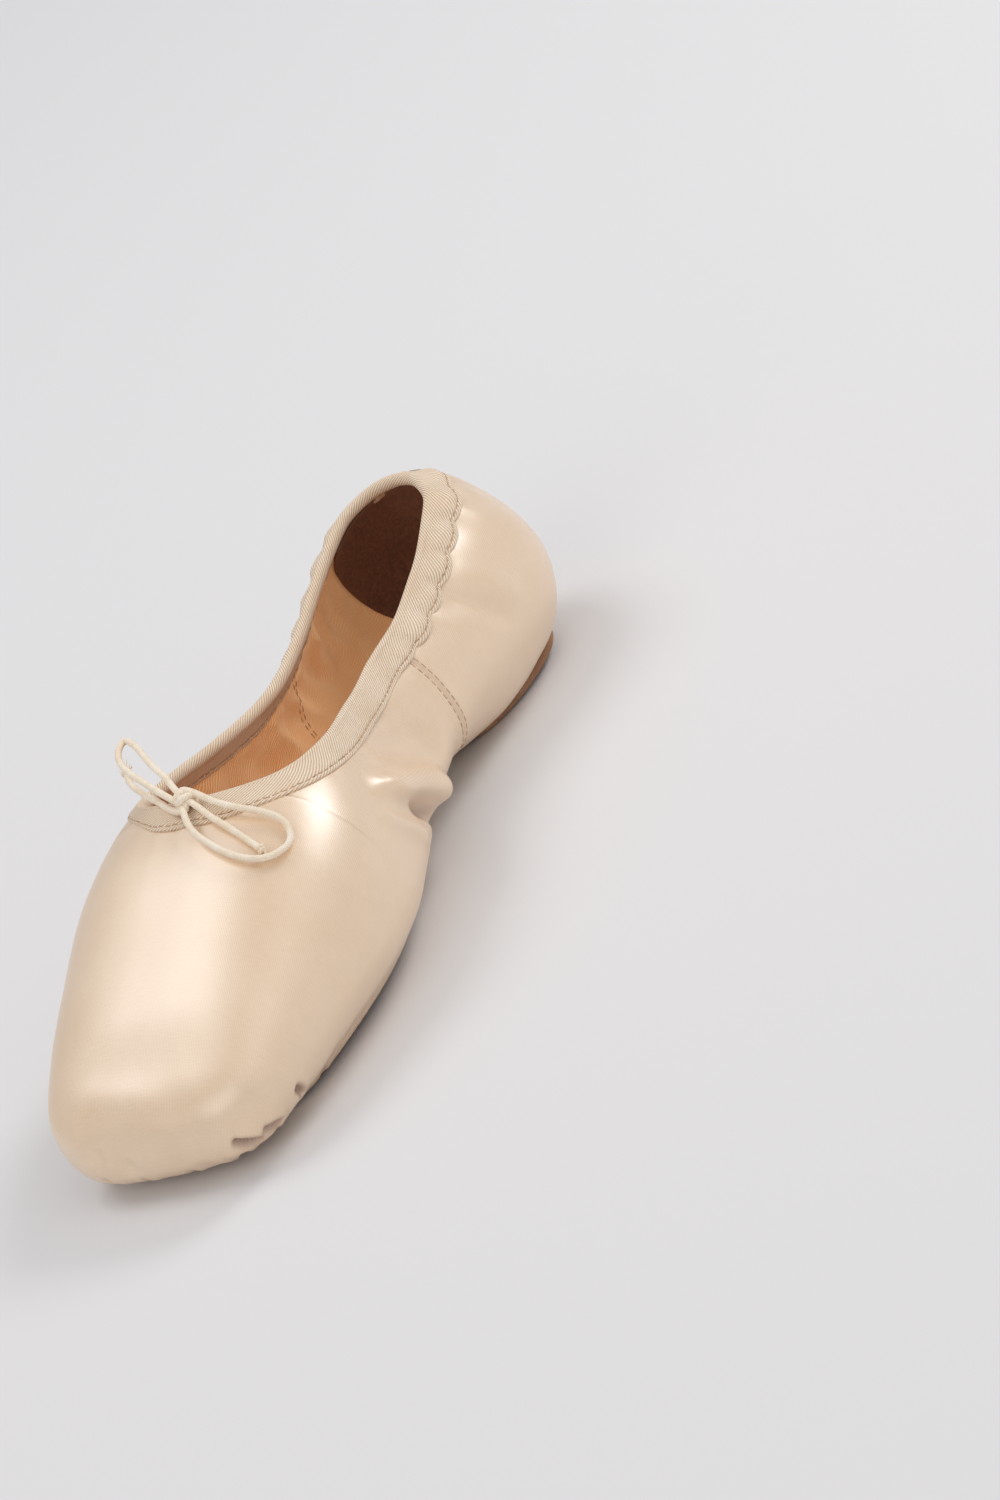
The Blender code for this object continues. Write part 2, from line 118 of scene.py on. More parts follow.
# Distance from the toe to y = 0, as a number and as a move from y counted from the toe
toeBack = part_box("upper")[1][1] - last["length"]
toFrame = np.array([0.0, toeBack, 0.0])
mirror = np.array([-1.0, 1.0, 1.0])
planMirror = np.array([-1.0, 1.0])


# A curve from start to end that leaves and arrives with those slopes
def hermite(t, start, end, leaving, arriving):
    rise = (2 * t**3 - 3 * t**2 + 1) * start + (3 * t**2 - 2 * t**3) * end
    return rise + (t**3 - 2 * t**2 + t) * leaving + (t**3 - t**2) * arriving


# A table's column read at any share of the length, without overshooting between its rows
def column(table, index, share):
    xs = np.array([row[0] for row in table])
    ys = np.array([row[index] for row in table])
    steps = np.diff(ys) / np.diff(xs)
    slopes = np.zeros(len(xs))
    rising = steps[:-1] * steps[1:] > 0
    slopes[1:-1][rising] = 2 * steps[:-1][rising] * steps[1:][rising] / (steps[:-1] + steps[1:])[rising]
    slopes[0], slopes[-1] = steps[0], steps[-1]
    share = np.clip(share, xs[0], xs[-1])
    i = np.clip(np.searchsorted(xs, share) - 1, 0, len(xs) - 2)
    width = xs[i + 1] - xs[i]
    return hermite((share - xs[i]) / width, ys[i], ys[i + 1], width * slopes[i], width * slopes[i + 1])


def lengthsAlong(points):
    return np.concatenate([[0.0], np.cumsum(np.linalg.norm(np.diff(points, axis=0), axis=1))])


def atDistance(points, distance):
    along = lengthsAlong(points)
    return np.stack([np.interp(distance, along, points[:, k]) for k in range(points.shape[1])], axis=-1)


# A smooth curve through points of a plan outline that meets its mirror image at both ends
def smoothThrough(points, fineness=60):
    ring = np.array([points[1] * planMirror, *points, points[-2] * planMirror])
    knots = lengthsAlong(ring)
    found = []
    for i in range(1, len(ring) - 2):
        span = knots[i + 1] - knots[i]
        leaving = (ring[i + 1] - ring[i - 1]) / (knots[i + 1] - knots[i - 1]) * span
        arriving = (ring[i + 2] - ring[i]) / (knots[i + 2] - knots[i]) * span
        for t in np.arange(fineness) / fineness:
            found.append(hermite(t, ring[i], ring[i + 1], leaving, arriving))
    return np.array([*found, points[-1]])


# A smooth curve through the points of a path
def smoothRoute(points, fineness=30):
    points = np.array(points, dtype=float)
    route = np.array([2 * points[0] - points[1], *points, 2 * points[-1] - points[-2]])
    found = []
    for i in range(1, len(route) - 2):
        leaving = (route[i + 1] - route[i - 1]) / 2
        arriving = (route[i + 2] - route[i]) / 2
        for t in np.arange(fineness) / fineness:
            found.append(hermite(t, route[i], route[i + 1], leaving, arriving))
    return np.array([*found, points[-1]])


outline = smoothThrough(
    np.array([(share * last[width] / 2, along * last["length"]) for along, width, share in plan])
)
aroundLast = lengthsAlong(outline)[-1]


# Where the outline passes a distance from the toe that is given in the frame's millimetres
def outlineAt(y):
    return float(np.interp(y * mm - toeBack, outline[:, 1], lengthsAlong(outline)))


def lastHeights(y):
    share = y / last["length"]
    low = last["bottom"] + last["archRise"] * column(sections, 1, share)
    rise = last["instepHeight"] - last["platformHeight"]
    crown = last["platformHeight"] + rise * column(sections, 2, share)
    widest = last["bottom"] + last["widestHeight"] * column(sections, 3, share)
    return low, widest, crown


# Ribs through the outline's points, each from the middle underneath, round the side, to the crown.
# y counts from the toe here. Also gives the plan direction that each rib runs in.
def lastRibs(places, fineness=220):
    xOut, yOut = atDistance(outline, places).T
    share = yOut / last["length"]
    flat, under, over = (column(sections, k, share)[:, None] for k in (4, 5, 6))
    turn = np.linspace(0.0, math.pi / 2, fineness)[None, :]
    bare = np.linspace(0.0, 1.0, 40, endpoint=False)[None, :] * flat
    curve = flat + (1 - flat) * np.sin(turn) ** (2 / under)
    reach = np.concatenate([bare, curve, np.cos(turn[:, 1:]) ** (2 / over)], axis=1)
    upper = np.sin(turn[:, 1:]) ** (2 / over)
    lift = np.concatenate([-np.ones_like(bare), -np.cos(turn) ** (2 / under), upper], axis=1)
    start = np.clip(yOut, last["toeFan"], last["length"] - last["heelFan"])
    y = start[:, None] + reach * (yOut - start)[:, None]
    low, widest, crown = lastHeights(y)
    z = widest + np.where(lift < 0, lift * (widest - low), lift * (crown - widest))
    lean = last["platformLean"] * np.maximum(0, 1 - y / last["toeFan"]) ** 2
    lean = lean * (z - last["bottom"]) / last["platformHeight"]
    away = np.stack([xOut, yOut - start], axis=-1)
    away /= np.linalg.norm(away, axis=1)[:, None]
    return np.stack([reach * xOut[:, None], y + lean, z], axis=-1), start, away


def throatHeight(y):
    share = (y - last["vamp"]) / (last["length"] - last["vamp"])
    front = lastHeights(last["vamp"])[2]
    z = last["sideHeight"] + (front - last["sideHeight"]) * column(throatHeights, 1, share)
    z = z + (last["heelHeight"] - last["sideHeight"]) * column(throatHeights, 2, share)
    return np.where(y < last["vamp"] + 0.01 * mm, last["length"], z)


# How far down a rib, from the crown, the throat line crosses it
def throatDrop(rib):
    above = rib[:, 2] - throatHeight(rib[:, 1])
    crossed = np.nonzero(above > 0)[0]
    if len(crossed) == 0:
        return 0.0
    i = crossed[0]
    along = lengthsAlong(rib)
    t = above[i - 1] / (above[i - 1] - above[i])
    return along[-1] - (along[i - 1] + t * (along[i] - along[i - 1]))


# The hole under the shoe that the outsole closes
hole = {"front": 0.036, "back": 0.1326, "half": 0.020}


def openingUnder(rib, along):
    share = (2 * rib[0, 1] - hole["front"] - hole["back"]) / (hole["back"] - hole["front"])
    return hole["half"] * np.sqrt(np.maximum(0.0, 1 - share**2))


def fromTheMiddle(rib, along):
    return 0.0


# Ends a sheet a little past the throat line, under the tape
def underTape(reach):
    def topEdge(rib, along):
        drop = throatDrop(rib)
        return along[-1] - drop - min(reach * mm, 0.3 * drop)

    return topEdge


# A grid of points on one side of the last, bent from the given start and end along each rib,
# with a flat pattern of the same cloth: metres across and along it
def halfSurface(places, shares, start, end):
    ribs, spine, away = lastRibs(places)
    points = np.zeros((len(places), len(shares), 3))
    pattern = np.zeros((len(places), len(shares), 2))
    for i, rib in enumerate(ribs):
        along = lengthsAlong(rib)
        first, final = start(rib, along), end(rib, along)
        where = first + shares * (final - first)
        points[i] = atDistance(rib, where)
        fromCrown = along[-1] - where
        pattern[i, :, 0] = fromCrown * away[i, 0]
        pattern[i, :, 1] = spine[i] + fromCrown * away[i, 1]
    points[:, :, 1] += toeBack
    return points, pattern


# Both sides of such a grid, from the heel round the toe to the heel
def wholeSurface(places, shares, start, end):
    points, pattern = halfSurface(places, shares, start, end)
    mirrored = points[:0:-1] * mirror
    reflected = pattern[:0:-1] * planMirror
    return np.concatenate([mirrored, points]), np.concatenate([reflected, pattern])


# A cloth grid: bmesh's own grid laid on the points, with its pattern as the UV map in metres.
# Its faces look away from the middle, or towards it where inwards is set.
def clothGrid(name, points, pattern, inwards=False, middle=(0, 0, 0.025), merge=0.002 * mm):
    columns, rows = points.shape[:2]
    sheet = bmesh.new()
    layer = sheet.loops.layers.uv.new("pattern")
    bmesh.ops.create_grid(sheet, x_segments=columns - 1, y_segments=rows - 1, size=1.0)
    for vertex in sheet.verts:
        i = round((vertex.co.x + 1) / 2 * (columns - 1))
        j = round((vertex.co.y + 1) / 2 * (rows - 1))
        vertex.co = points[i, j]
        for loop in vertex.link_loops:
            loop[layer].uv = pattern[i, j]
    bmesh.ops.remove_doubles(sheet, verts=sheet.verts, dist=merge)
    bmesh.ops.dissolve_degenerate(sheet, edges=sheet.edges, dist=merge)
    sheet.normal_update()
    away = 0.0
    for face in sheet.faces:
        away += face.normal.dot(face.calc_center_median() - Vector(middle)) * face.calc_area()
    if (away < 0) != inwards:
        bmesh.ops.reverse_faces(sheet, faces=sheet.faces)
    return placeMesh(name, sheet)


def sheetOf(piece):
    sheet = bmesh.new()
    sheet.from_mesh(piece.data)
    return sheet


def placeMesh(name, sheet):
    mesh = bpy.data.meshes.new(name)
    sheet.to_mesh(mesh)
    sheet.free()
    mesh.shade_smooth()
    piece = bpy.data.objects.new(name, mesh)
    bpy.context.scene.collection.objects.link(piece)
    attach(piece, "root")
    return piece


def corners(piece):
    mesh = piece.data
    points = np.zeros(len(mesh.vertices) * 3)
    normals = np.zeros(len(mesh.vertices) * 3)
    mesh.vertices.foreach_get("co", points)
    mesh.vertices.foreach_get("normal", normals)
    return points.reshape(-1, 3), normals.reshape(-1, 3)


def moveCorners(piece, points):
    piece.data.vertices.foreach_set("co", points.ravel())
    piece.data.update()


# Distance of each point from a path, and how far along the path it is, from 0 to 1
def fromPath(points, path):
    path = np.array(path, dtype=float) * mm
    if len(path) > 2:
        route = smoothRoute(path, 8)
        path = atDistance(route, np.linspace(0, lengthsAlong(route)[-1], 4 * len(path)))
    along = lengthsAlong(path)
    best = np.full(len(points), 1.0)
    where = np.zeros(len(points))
    for k in range(len(path) - 1):
        step = path[k + 1] - path[k]
        t = np.clip(((points - path[k]) @ step) / (step @ step), 0, 1)
        apart = np.linalg.norm(points - path[k] - t[:, None] * step, axis=1)
        nearer = apart < best
        best[nearer] = apart[nearer]
        where[nearer] = (along[k] + t[nearer] * (along[k + 1] - along[k])) / along[-1]
    return best, where


# A soft trough or ridge along a path: its height, negative for a trough, fades out at the path's ends
def fold(points, path, width, height, fade=0.25):
    apart, where = fromPath(points, path)
    ends = np.clip(np.minimum(where, 1 - where) / max(fade, 1e-6), 0, 1)
    ends = ends * ends * (3 - 2 * ends) if fade > 0 else 1.0
    return height * mm * np.exp(-((apart / (width * mm)) ** 2)) * ends


def ease(low, high, value):
    t = np.clip((value - low) / (high - low), 0, 1)
    return t * t * (3 - 2 * t)


# Smooth noise of about unit height, with bumps of about that size
def softNoise(points, size, seed=0.0):
    scaled = points / (size * mm)
    return np.array([noise.noise(Vector(p) + Vector((seed, 2 * seed, 3 * seed))) for p in scaled]) * 2


# The closed last, to measure on
def makeLastTree(ribCount=300, rowCount=120):
    places, shares = np.linspace(0, aroundLast, ribCount), np.linspace(0, 1, rowCount)
    closed = wholeSurface(places, shares, fromTheMiddle, lambda rib, along: along[-1])[0]
    faces = []
    for i in range(len(closed) - 1):
        for j in range(rowCount - 1):
            here, beside = i * rowCount + j, (i + 1) * rowCount + j
            faces.append((here, beside, beside + 1, here + 1))
    return BVHTree.FromPolygons([Vector(point) for point in closed.reshape(-1, 3)], faces)


print("measuring the throat")
lastTree = makeLastTree()


# The throat line as a closed path, from the heel round the front to the heel, starting on the far side
def measureThroat(step=0.8):
    ribs = lastRibs(np.linspace(0, aroundLast, 1200))[0]
    half = []
    for rib in ribs:
        drop = throatDrop(rib)
        if drop > 0:
            half.append(atDistance(rib, lengthsAlong(rib)[-1] - drop))
    front = np.array([0.0, last["vamp"], lastHeights(last["vamp"])[2]])
    half = np.array([front, *half]) + toFrame
    loop = np.concatenate([half[:0:-1] * mirror, half])
    total = lengthsAlong(loop)[-1]
    loop = atDistance(loop, np.linspace(0, total, 2 * round(total / 2 / (step * mm)) + 1))
    return smoothed(loop, 3)


# Points evened out along their first axis, with the ends kept
def smoothed(points, times):
    points = points.copy()
    for _ in range(times):
        points[1:-1] = (points[:-2] + 2 * points[1:-1] + points[2:]) / 4
    return points


throat = measureThroat()
aroundThroat = lengthsAlong(throat)[-1]
print("throat", round(aroundThroat / mm), "mm round")


# Steps over the last's surface from each start, in that direction: points and outward normals
def marchOver(starts, directions, steps, step=0.5):
    points = np.zeros((len(starts), steps + 1, 3))
    normals = np.zeros((len(starts), steps + 1, 3))
    for i, start in enumerate(starts):
        place, normal, _, _ = lastTree.find_nearest(Vector(start))
        if normal.dot(place - Vector((0, start[1] * 0.8, 0.02))) < 0:
            normal = -normal
        way = Vector(directions[i])
        for k in range(steps + 1):
            points[i, k] = place
            normals[i, k] = normal
            way = (way - normal * way.dot(normal)).normalized()
            place, turned, _, _ = lastTree.find_nearest(place + way * step * mm)
            normal = turned if turned.dot(normal) > 0 else -turned
    return points, normals


def unit(vectors):
    return vectors / np.maximum(np.linalg.norm(vectors, axis=-1, keepdims=True), 1e-9)


# The strip of the surface beside the throat, down from its edge
def besideThroat(steps):
    tangents = unit(np.gradient(throat, axis=0))
    above = np.array([0.0, 0.01, 0.2])
    directions = []
    for point, tangent in zip(throat, tangents):
        normal = lastTree.find_nearest(Vector(point))[1]
        down = Vector(tangent).cross(normal)
        directions.append(down if down.dot(Vector(above - point)) < 0 else -down)
    points, normals = marchOver(throat, directions, steps)
    return smoothed(points, 2), unit(smoothed(normals, 6))


throatBand, throatNormals = besideThroat(26)


# A point of that strip: how far down from the throat's edge, and how far out from the last's surface
def bandPoints(i, down, out):
    steps = np.clip(down / 0.5, 0, throatBand.shape[1] - 1.001)
    k = steps.astype(int)
    t = (steps - k)[:, None]
    place = throatBand[i, k] * (1 - t) + throatBand[i, k + 1] * t
    normal = unit(throatNormals[i, k] * (1 - t) + throatNormals[i, k + 1] * t)
    upwards = unit(throatBand[i, 0] - throatBand[i, 2])
    return place + normal * (out * mm)[:, None] + upwards * (np.maximum(-down, 0) * mm)[:, None]


# A tube of quads along a path, with the pattern along and round it.
# The radius is one number or one for each point.
def tube(name, path, radius, sides=12):
    path = np.array(path)
    radius = np.broadcast_to(radius, len(path))
    tangents = unit(np.gradient(path, axis=0))
    side = unit(np.cross(tangents[0], [0.0, 0.3, 1.0]))
    rings = []
    along = lengthsAlong(path)
    for point, tangent, size in zip(path, tangents, radius):
        side = unit(side - tangent * (side @ tangent))
        other = np.cross(tangent, side)
        turn = np.linspace(0, 2 * math.pi, sides + 1)[:, None]
        rings.append(point + size * (np.cos(turn) * side + np.sin(turn) * other))
    points = np.array(rings)
    pattern = np.zeros(points.shape[:2] + (2,))
    pattern[:, :, 0] = along[:, None]
    pattern[:, :, 1] = np.linspace(0, 2 * math.pi, sides + 1)[None, :] * radius[:, None]
    points = np.concatenate([path[:1, None] + 0 * points[:1], points, path[-1:, None] + 0 * points[:1]])
    pattern = np.concatenate([pattern[:1], pattern, pattern[-1:]])
    piece = clothGrid(name, points, pattern, middle=tuple(path[len(path) // 2]))
    sheet = sheetOf(piece)
    bmesh.ops.recalc_face_normals(sheet, faces=sheet.faces)
    sheet.to_mesh(piece.data)
    sheet.free()
    return piece


# Turns a sphere's poles to the stitch's ends
endOn = Matrix.Rotation(math.pi / 2, 4, "Y")


# Pitch, length and thickness of the stitches of each kind
stitchSizes = {
    "bindingStitches": (2.3, 1.9, 0.34),
    "heelPadStitches": (2.3, 1.7, 0.42),
    "backStripStitches": (2.3, 1.9, 0.32),
    "sideSeamStitches": (2.2, 1.8, 0.3),
    "liningSeamStitches": (2.4, 1.9, 0.32),
    "middleSeamStitches": (1.0, 1.1, 0.28),
}


# Stitches: small rounded threads along paths that lie on cloth
def stitchRows(name, rows):
    pitch, length, thick = stitchSizes[name]
    thread = bmesh.new()
    for path, normals in rows:
        along = lengthsAlong(path)
        count = int(along[-1] / (pitch * mm))
        middles = (np.arange(count) + 0.5) * along[-1] / max(count, 1)
        places = atDistance(path, middles)
        ahead = atDistance(path, np.minimum(middles + 0.5 * length * mm, along[-1]))
        behind = atDistance(path, np.maximum(middles - 0.5 * length * mm, 0))
        ups = unit(np.stack([np.interp(middles, along, normals[:, k]) for k in range(3)], axis=-1))
        for place, way, up in zip(places, unit(ahead - behind), ups):
            across = unit(np.cross(up, way))
            top = np.cross(way, across)
            turn = Matrix((way * length * mm, across * thick * mm, top * thick * mm))
            turn = turn.transposed().to_4x4()
            turn.translation = Vector(place)
            bmesh.ops.create_uvsphere(thread, u_segments=6, v_segments=5, radius=0.5, matrix=turn @ endOn)
    bmesh.ops.recalc_face_normals(thread, faces=thread.faces)
    return placeMesh(name, thread)


# Colours as they look in the photograph, from 0 to 255, all above 10
def tone(red, green, blue):
    return tuple(((c / 255 + 0.055) / 1.055) ** 2.4 for c in (red, green, blue)) + (1.0,)


def group(name, inputs, outputs):
    made = bpy.data.node_groups.new(name, "ShaderNodeTree")
    for label, kind, value in inputs:
        socket = made.interface.new_socket(label, in_out="INPUT", socket_type=kind)
        if value is not None:
            socket.default_value = value
    for label, kind in outputs:
        made.interface.new_socket(label, in_out="OUTPUT", socket_type=kind)
    return made, made.nodes.new("NodeGroupInput").outputs, made.nodes.new("NodeGroupOutput").inputs


def put(tree, kind, links=None, **settings):
    node = tree.nodes.new(kind)
    for key, value in settings.items():
        setattr(node, key, value)
    for socket, value in (links or {}).items():
        if isinstance(value, bpy.types.NodeSocket):
            tree.links.new(value, node.inputs[socket])
        else:
            node.inputs[socket].default_value = value
    return node


def maths(tree, operation, *values):
    return put(tree, "ShaderNodeMath", dict(enumerate(values)), operation=operation).outputs[0]


def vectors(tree, operation, links):
    return put(tree, "ShaderNodeVectorMath", links, operation=operation).outputs[0]


# Two sets of threads crossing at an angle: a height for bump and a mask of the gaps between them.
# The pattern comes in metres, and pitch is in millimetres.
def makeWeave():
    made, given, result = group(
        "weave",
        [
            ("Pattern", "NodeSocketVector", None),
            ("Pitch", "NodeSocketFloat", 0.4),
            ("Turn", "NodeSocketFloat", 0.0),
            ("Cross Share", "NodeSocketFloat", 0.4),
            ("Irregular", "NodeSocketFloat", 0.2),
        ],
        [("Height", "NodeSocketFloat"), ("Gaps", "NodeSocketFloat"), ("Slub", "NodeSocketFloat")],
    )
    scaled = vectors(made, "SCALE", {0: given["Pattern"], "Scale": 1000.0})
    wander = put(made, "ShaderNodeTexNoise", {"Vector": scaled, "Scale": 0.35, "Detail": 2.0})
    moved = vectors(made, "SUBTRACT", {0: wander.outputs["Color"], 1: (0.5, 0.5, 0.5)})
    moved = vectors(made, "SCALE", {0: moved, "Scale": given["Irregular"]})
    placed = vectors(made, "ADD", {0: scaled, 1: moved})
    way = {"Vector": placed, "Angle": given["Turn"]}
    turned = put(made, "ShaderNodeVectorRotate", way, rotation_type="Z_AXIS")
    parts = put(made, "ShaderNodeSeparateXYZ", {0: turned.outputs[0]}).outputs
    rate = maths(made, "DIVIDE", 2 * math.pi, given["Pitch"])
    first = maths(made, "SINE", maths(made, "MULTIPLY", parts["X"], rate))
    second = maths(made, "SINE", maths(made, "MULTIPLY", parts["Y"], maths(made, "MULTIPLY", rate, 0.8)))
    crossing = maths(made, "MULTIPLY", second, given["Cross Share"])
    height = maths(made, "ADD", first, crossing)
    made.links.new(height, result["Height"])
    gaps = maths(made, "POWER", maths(made, "MULTIPLY_ADD", first, -0.5, 0.5), 3.0)
    made.links.new(gaps, result["Gaps"])
    stretched = vectors(made, "MULTIPLY", {0: placed, 1: (0.35, 2.2, 1.0)})
    slub = put(made, "ShaderNodeTexNoise", {"Vector": stretched, "Scale": 1.0, "Detail": 3.0}).outputs["Fac"]
    made.links.new(slub, result["Slub"])
    return made


# Slow changes of tone in millimetres of the object: a mask about a half
def makeMottle():
    made, given, result = group(
        "mottle",
        [("Size", "NodeSocketFloat", 10.0), ("Contrast", "NodeSocketFloat", 1.0)],
        [("Mask", "NodeSocketFloat"), ("Fine", "NodeSocketFloat")],
    )
    spot = put(made, "ShaderNodeTexCoord").outputs["Object"]
    rate = maths(made, "DIVIDE", 1000.0, given["Size"])
    cloudy = {"Vector": spot, "Scale": rate, "Detail": 3.0, "Roughness": 0.55}
    coarse = put(made, "ShaderNodeTexNoise", cloudy)
    centred = maths(made, "SUBTRACT", coarse.outputs["Fac"], 0.5)
    mask = maths(made, "MULTIPLY_ADD", centred, maths(made, "MULTIPLY", given["Contrast"], 2.0), 0.5)
    made.links.new(put(made, "ShaderNodeClamp", {0: mask}).outputs[0], result["Mask"])
    fine = put(made, "ShaderNodeTexNoise", {"Vector": spot, "Scale": 4000.0, "Detail": 4.0, "Roughness": 0.7})
    made.links.new(fine.outputs["Fac"], result["Fine"])
    return made


weave = makeWeave()
mottle = makeMottle()


def newMaterial(name, roughness, **constants):
    made = bpy.data.materials.new(name)
    made.use_nodes = True
    shader = made.node_tree.nodes["Principled BSDF"]
    shader.inputs["Roughness"].default_value = roughness
    for key, value in constants.items():
        shader.inputs[key].default_value = value
    return made, made.node_tree, shader


def place(tree, made, links):
    return put(tree, "ShaderNodeGroup", links, node_tree=made).outputs


def blend(tree, share, dark, light):
    return put(tree, "ShaderNodeMix", {0: share, 6: dark, 7: light}, data_type="RGBA").outputs[2]


def patternOf(tree):
    return put(tree, "ShaderNodeUVMap", uv_map="pattern").outputs[0]


def bump(tree, shader, height, distance, strength=1.0):
    node = put(tree, "ShaderNodeBump", {"Height": height, "Distance": distance * mm, "Strength": strength})
    tree.links.new(node.outputs[0], shader.inputs["Normal"])


# Satin: fine ribs along the shoe, slubs across them, a slow change of tone, and painted shade: the colour
# darkened to brown in the creases
def makeSatinFinish():
    made, tree, shader = newMaterial(
        "satin",
        0.36,
        **{
            "Sheen Weight": 0.08,
            "Sheen Roughness": 0.4,
            "Sheen Tint": tone(255, 186, 120),
            "Coat Weight": 1.0,
            "Coat IOR": 1.95,
            "Coat Roughness": 0.35,
            "Specular IOR Level": 0.9,
        },
    )
    cloth = place(tree, weave, {"Pattern": patternOf(tree), "Pitch": 0.46, "Turn": 0.0, "Cross Share": 0.22})
    cloud = place(tree, mottle, {"Size": 16.0, "Contrast": 0.9})
    share = maths(tree, "MULTIPLY_ADD", cloud["Mask"], 0.6, -0.3)
    share = maths(tree, "MULTIPLY_ADD", cloth["Slub"], 0.9, share)
    base = blend(tree, share, tone(231, 200, 163), tone(244, 218, 187))
    thread = blend(tree, maths(tree, "MULTIPLY", cloth["Gaps"], 0.4), base, tone(206, 166, 126))
    # Painted shade: a per-point mask darkens the satin's colour towards brown where its folds, pleats and
    # gashes would lie in shade
    paintedShadeMask = put(tree, "ShaderNodeAttribute", attribute_name="paintedShade").outputs["Fac"]
    paintedShade = maths(tree, "MULTIPLY", paintedShadeMask, 0.85)
    tree.links.new(blend(tree, paintedShade, thread, tone(128, 70, 32)), shader.inputs["Base Color"])
    rough = maths(tree, "MULTIPLY_ADD", cloth["Slub"], 0.34, 0.22)
    tree.links.new(rough, shader.inputs["Roughness"])
    height = maths(tree, "ADD", cloth["Height"], maths(tree, "MULTIPLY", cloth["Slub"], 3.0))
    bump(tree, shader, height, 0.014, 0.8)
    return made


# Cotton twill, for the tape and the lining. The glow is painted light: the cloth emits its own colour,
# standing in for light that comes through thin cloth.
def makeTwill(name, dark, light, gap, pitch, turn, relief, paintedGlow=0.0):
    made, tree, shader = newMaterial(
        name, 0.85, **{"Sheen Weight": 0.2, "Sheen Roughness": 0.6, "Emission Strength": paintedGlow}
    )
    lay = {"Pattern": patternOf(tree), "Pitch": pitch, "Turn": turn, "Irregular": 0.3, "Cross Share": 0.12}
    cloth = place(tree, weave, lay)
    cloud = place(tree, mottle, {"Size": 9.0, "Contrast": 1.0})
    base = blend(tree, cloud["Mask"], dark, light)
    thread = blend(tree, maths(tree, "MULTIPLY", cloth["Gaps"], 0.85), base, gap)
    tree.links.new(thread, shader.inputs["Base Color"])
    # Painted glow: the cloth's colour is also given out as light, at the glow's strength
    tree.links.new(thread, shader.inputs["Emission Color"])
    tree.links.new(maths(tree, "MULTIPLY_ADD", cloth["Slub"], 0.2, 0.72), shader.inputs["Roughness"])
    bump(tree, shader, maths(tree, "ADD", cloth["Height"], cloth["Slub"]), relief)
    return made


# Leather with a pebbled grain, darker in its valleys
def makeLeather(name, dark, light, grain, roughness, relief):
    made, tree, shader = newMaterial(name, roughness, **{"Specular IOR Level": 0.4})
    spot = put(tree, "ShaderNodeTexCoord").outputs["Object"]
    cells = put(tree, "ShaderNodeTexVoronoi", {"Vector": spot, "Scale": 1000.0 / grain, "Randomness": 1.0})
    fine = place(tree, mottle, {"Size": 0.9, "Contrast": 1.2})
    cloud = place(tree, mottle, {"Size": 11.0, "Contrast": 1.3})
    share = maths(tree, "MULTIPLY_ADD", cells.outputs["Distance"], -0.35, cloud["Mask"])
    share = maths(tree, "ADD", share, maths(tree, "MULTIPLY_ADD", fine["Mask"], 0.3, -0.1))
    tree.links.new(blend(tree, share, dark, light), shader.inputs["Base Color"])
    rough = maths(tree, "MULTIPLY_ADD", fine["Mask"], 0.22, roughness - 0.1)
    tree.links.new(rough, shader.inputs["Roughness"])
    height = maths(tree, "ADD", maths(tree, "MULTIPLY", cells.outputs["Distance"], -1.0), fine["Mask"])
    bump(tree, shader, height, relief)
    return made


# Suede: a brushed nap with no gloss
def makeSuede():
    made, tree, shader = newMaterial("suede", 0.95, **{"Sheen Weight": 0.5, "Sheen Roughness": 0.7})
    shader.inputs["Sheen Tint"].default_value = tone(170, 130, 105)
    nap = place(tree, mottle, {"Size": 1.1, "Contrast": 1.6})
    cloud = place(tree, mottle, {"Size": 14.0, "Contrast": 1.2})
    share = maths(tree, "MULTIPLY_ADD", nap["Mask"], 0.5, maths(tree, "MULTIPLY", cloud["Mask"], 0.5))
    tree.links.new(blend(tree, share, tone(88, 58, 43), tone(132, 94, 74)), shader.inputs["Base Color"])
    bump(tree, shader, maths(tree, "ADD", nap["Mask"], nap["Fine"]), 0.12)
    return made


# Thread and braided cord
def makeThread(name, dark, light, pitch, relief):
    made, tree, shader = newMaterial(name, 0.62, **{"Sheen Weight": 0.2, "Sheen Roughness": 0.5})
    cloud = place(tree, mottle, {"Size": 3.0, "Contrast": 1.4})
    tree.links.new(blend(tree, cloud["Mask"], dark, light), shader.inputs["Base Color"])
    if pitch:
        lay = {"Pattern": patternOf(tree), "Pitch": pitch, "Turn": 0.9, "Cross Share": 1.0}
        cloth = place(tree, weave, lay)
        bump(tree, shader, cloth["Height"], relief)
        tree.links.new(maths(tree, "MULTIPLY_ADD", cloth["Gaps"], 0.2, 0.55), shader.inputs["Roughness"])
    else:
        bump(tree, shader, cloud["Fine"], relief)
    return made


print("making the finishes")
satinFinish = makeSatinFinish()
tapeTones = tone(240, 217, 189), tone(250, 233, 210), tone(182, 142, 102)
liningTones = tone(244, 190, 130), tone(252, 208, 154), tone(206, 136, 80)
tapeFinish = makeTwill("bindingTape", *tapeTones, 0.62, math.radians(52), 0.07)
# The lining gets a painted glow of 0.18: light that it gives out itself
liningFinish = makeTwill("liningTwill", *liningTones, 0.7, math.radians(58), 0.07, 0.18)
soleFinish = makeLeather("soleLeather", tone(118, 78, 54), tone(158, 112, 82), 1.3, 0.55, 0.10)
padFinish = makeLeather("padLeather", tone(146, 104, 74), tone(178, 136, 102), 0.9, 0.70, 0.08)
suedeFinish = makeSuede()
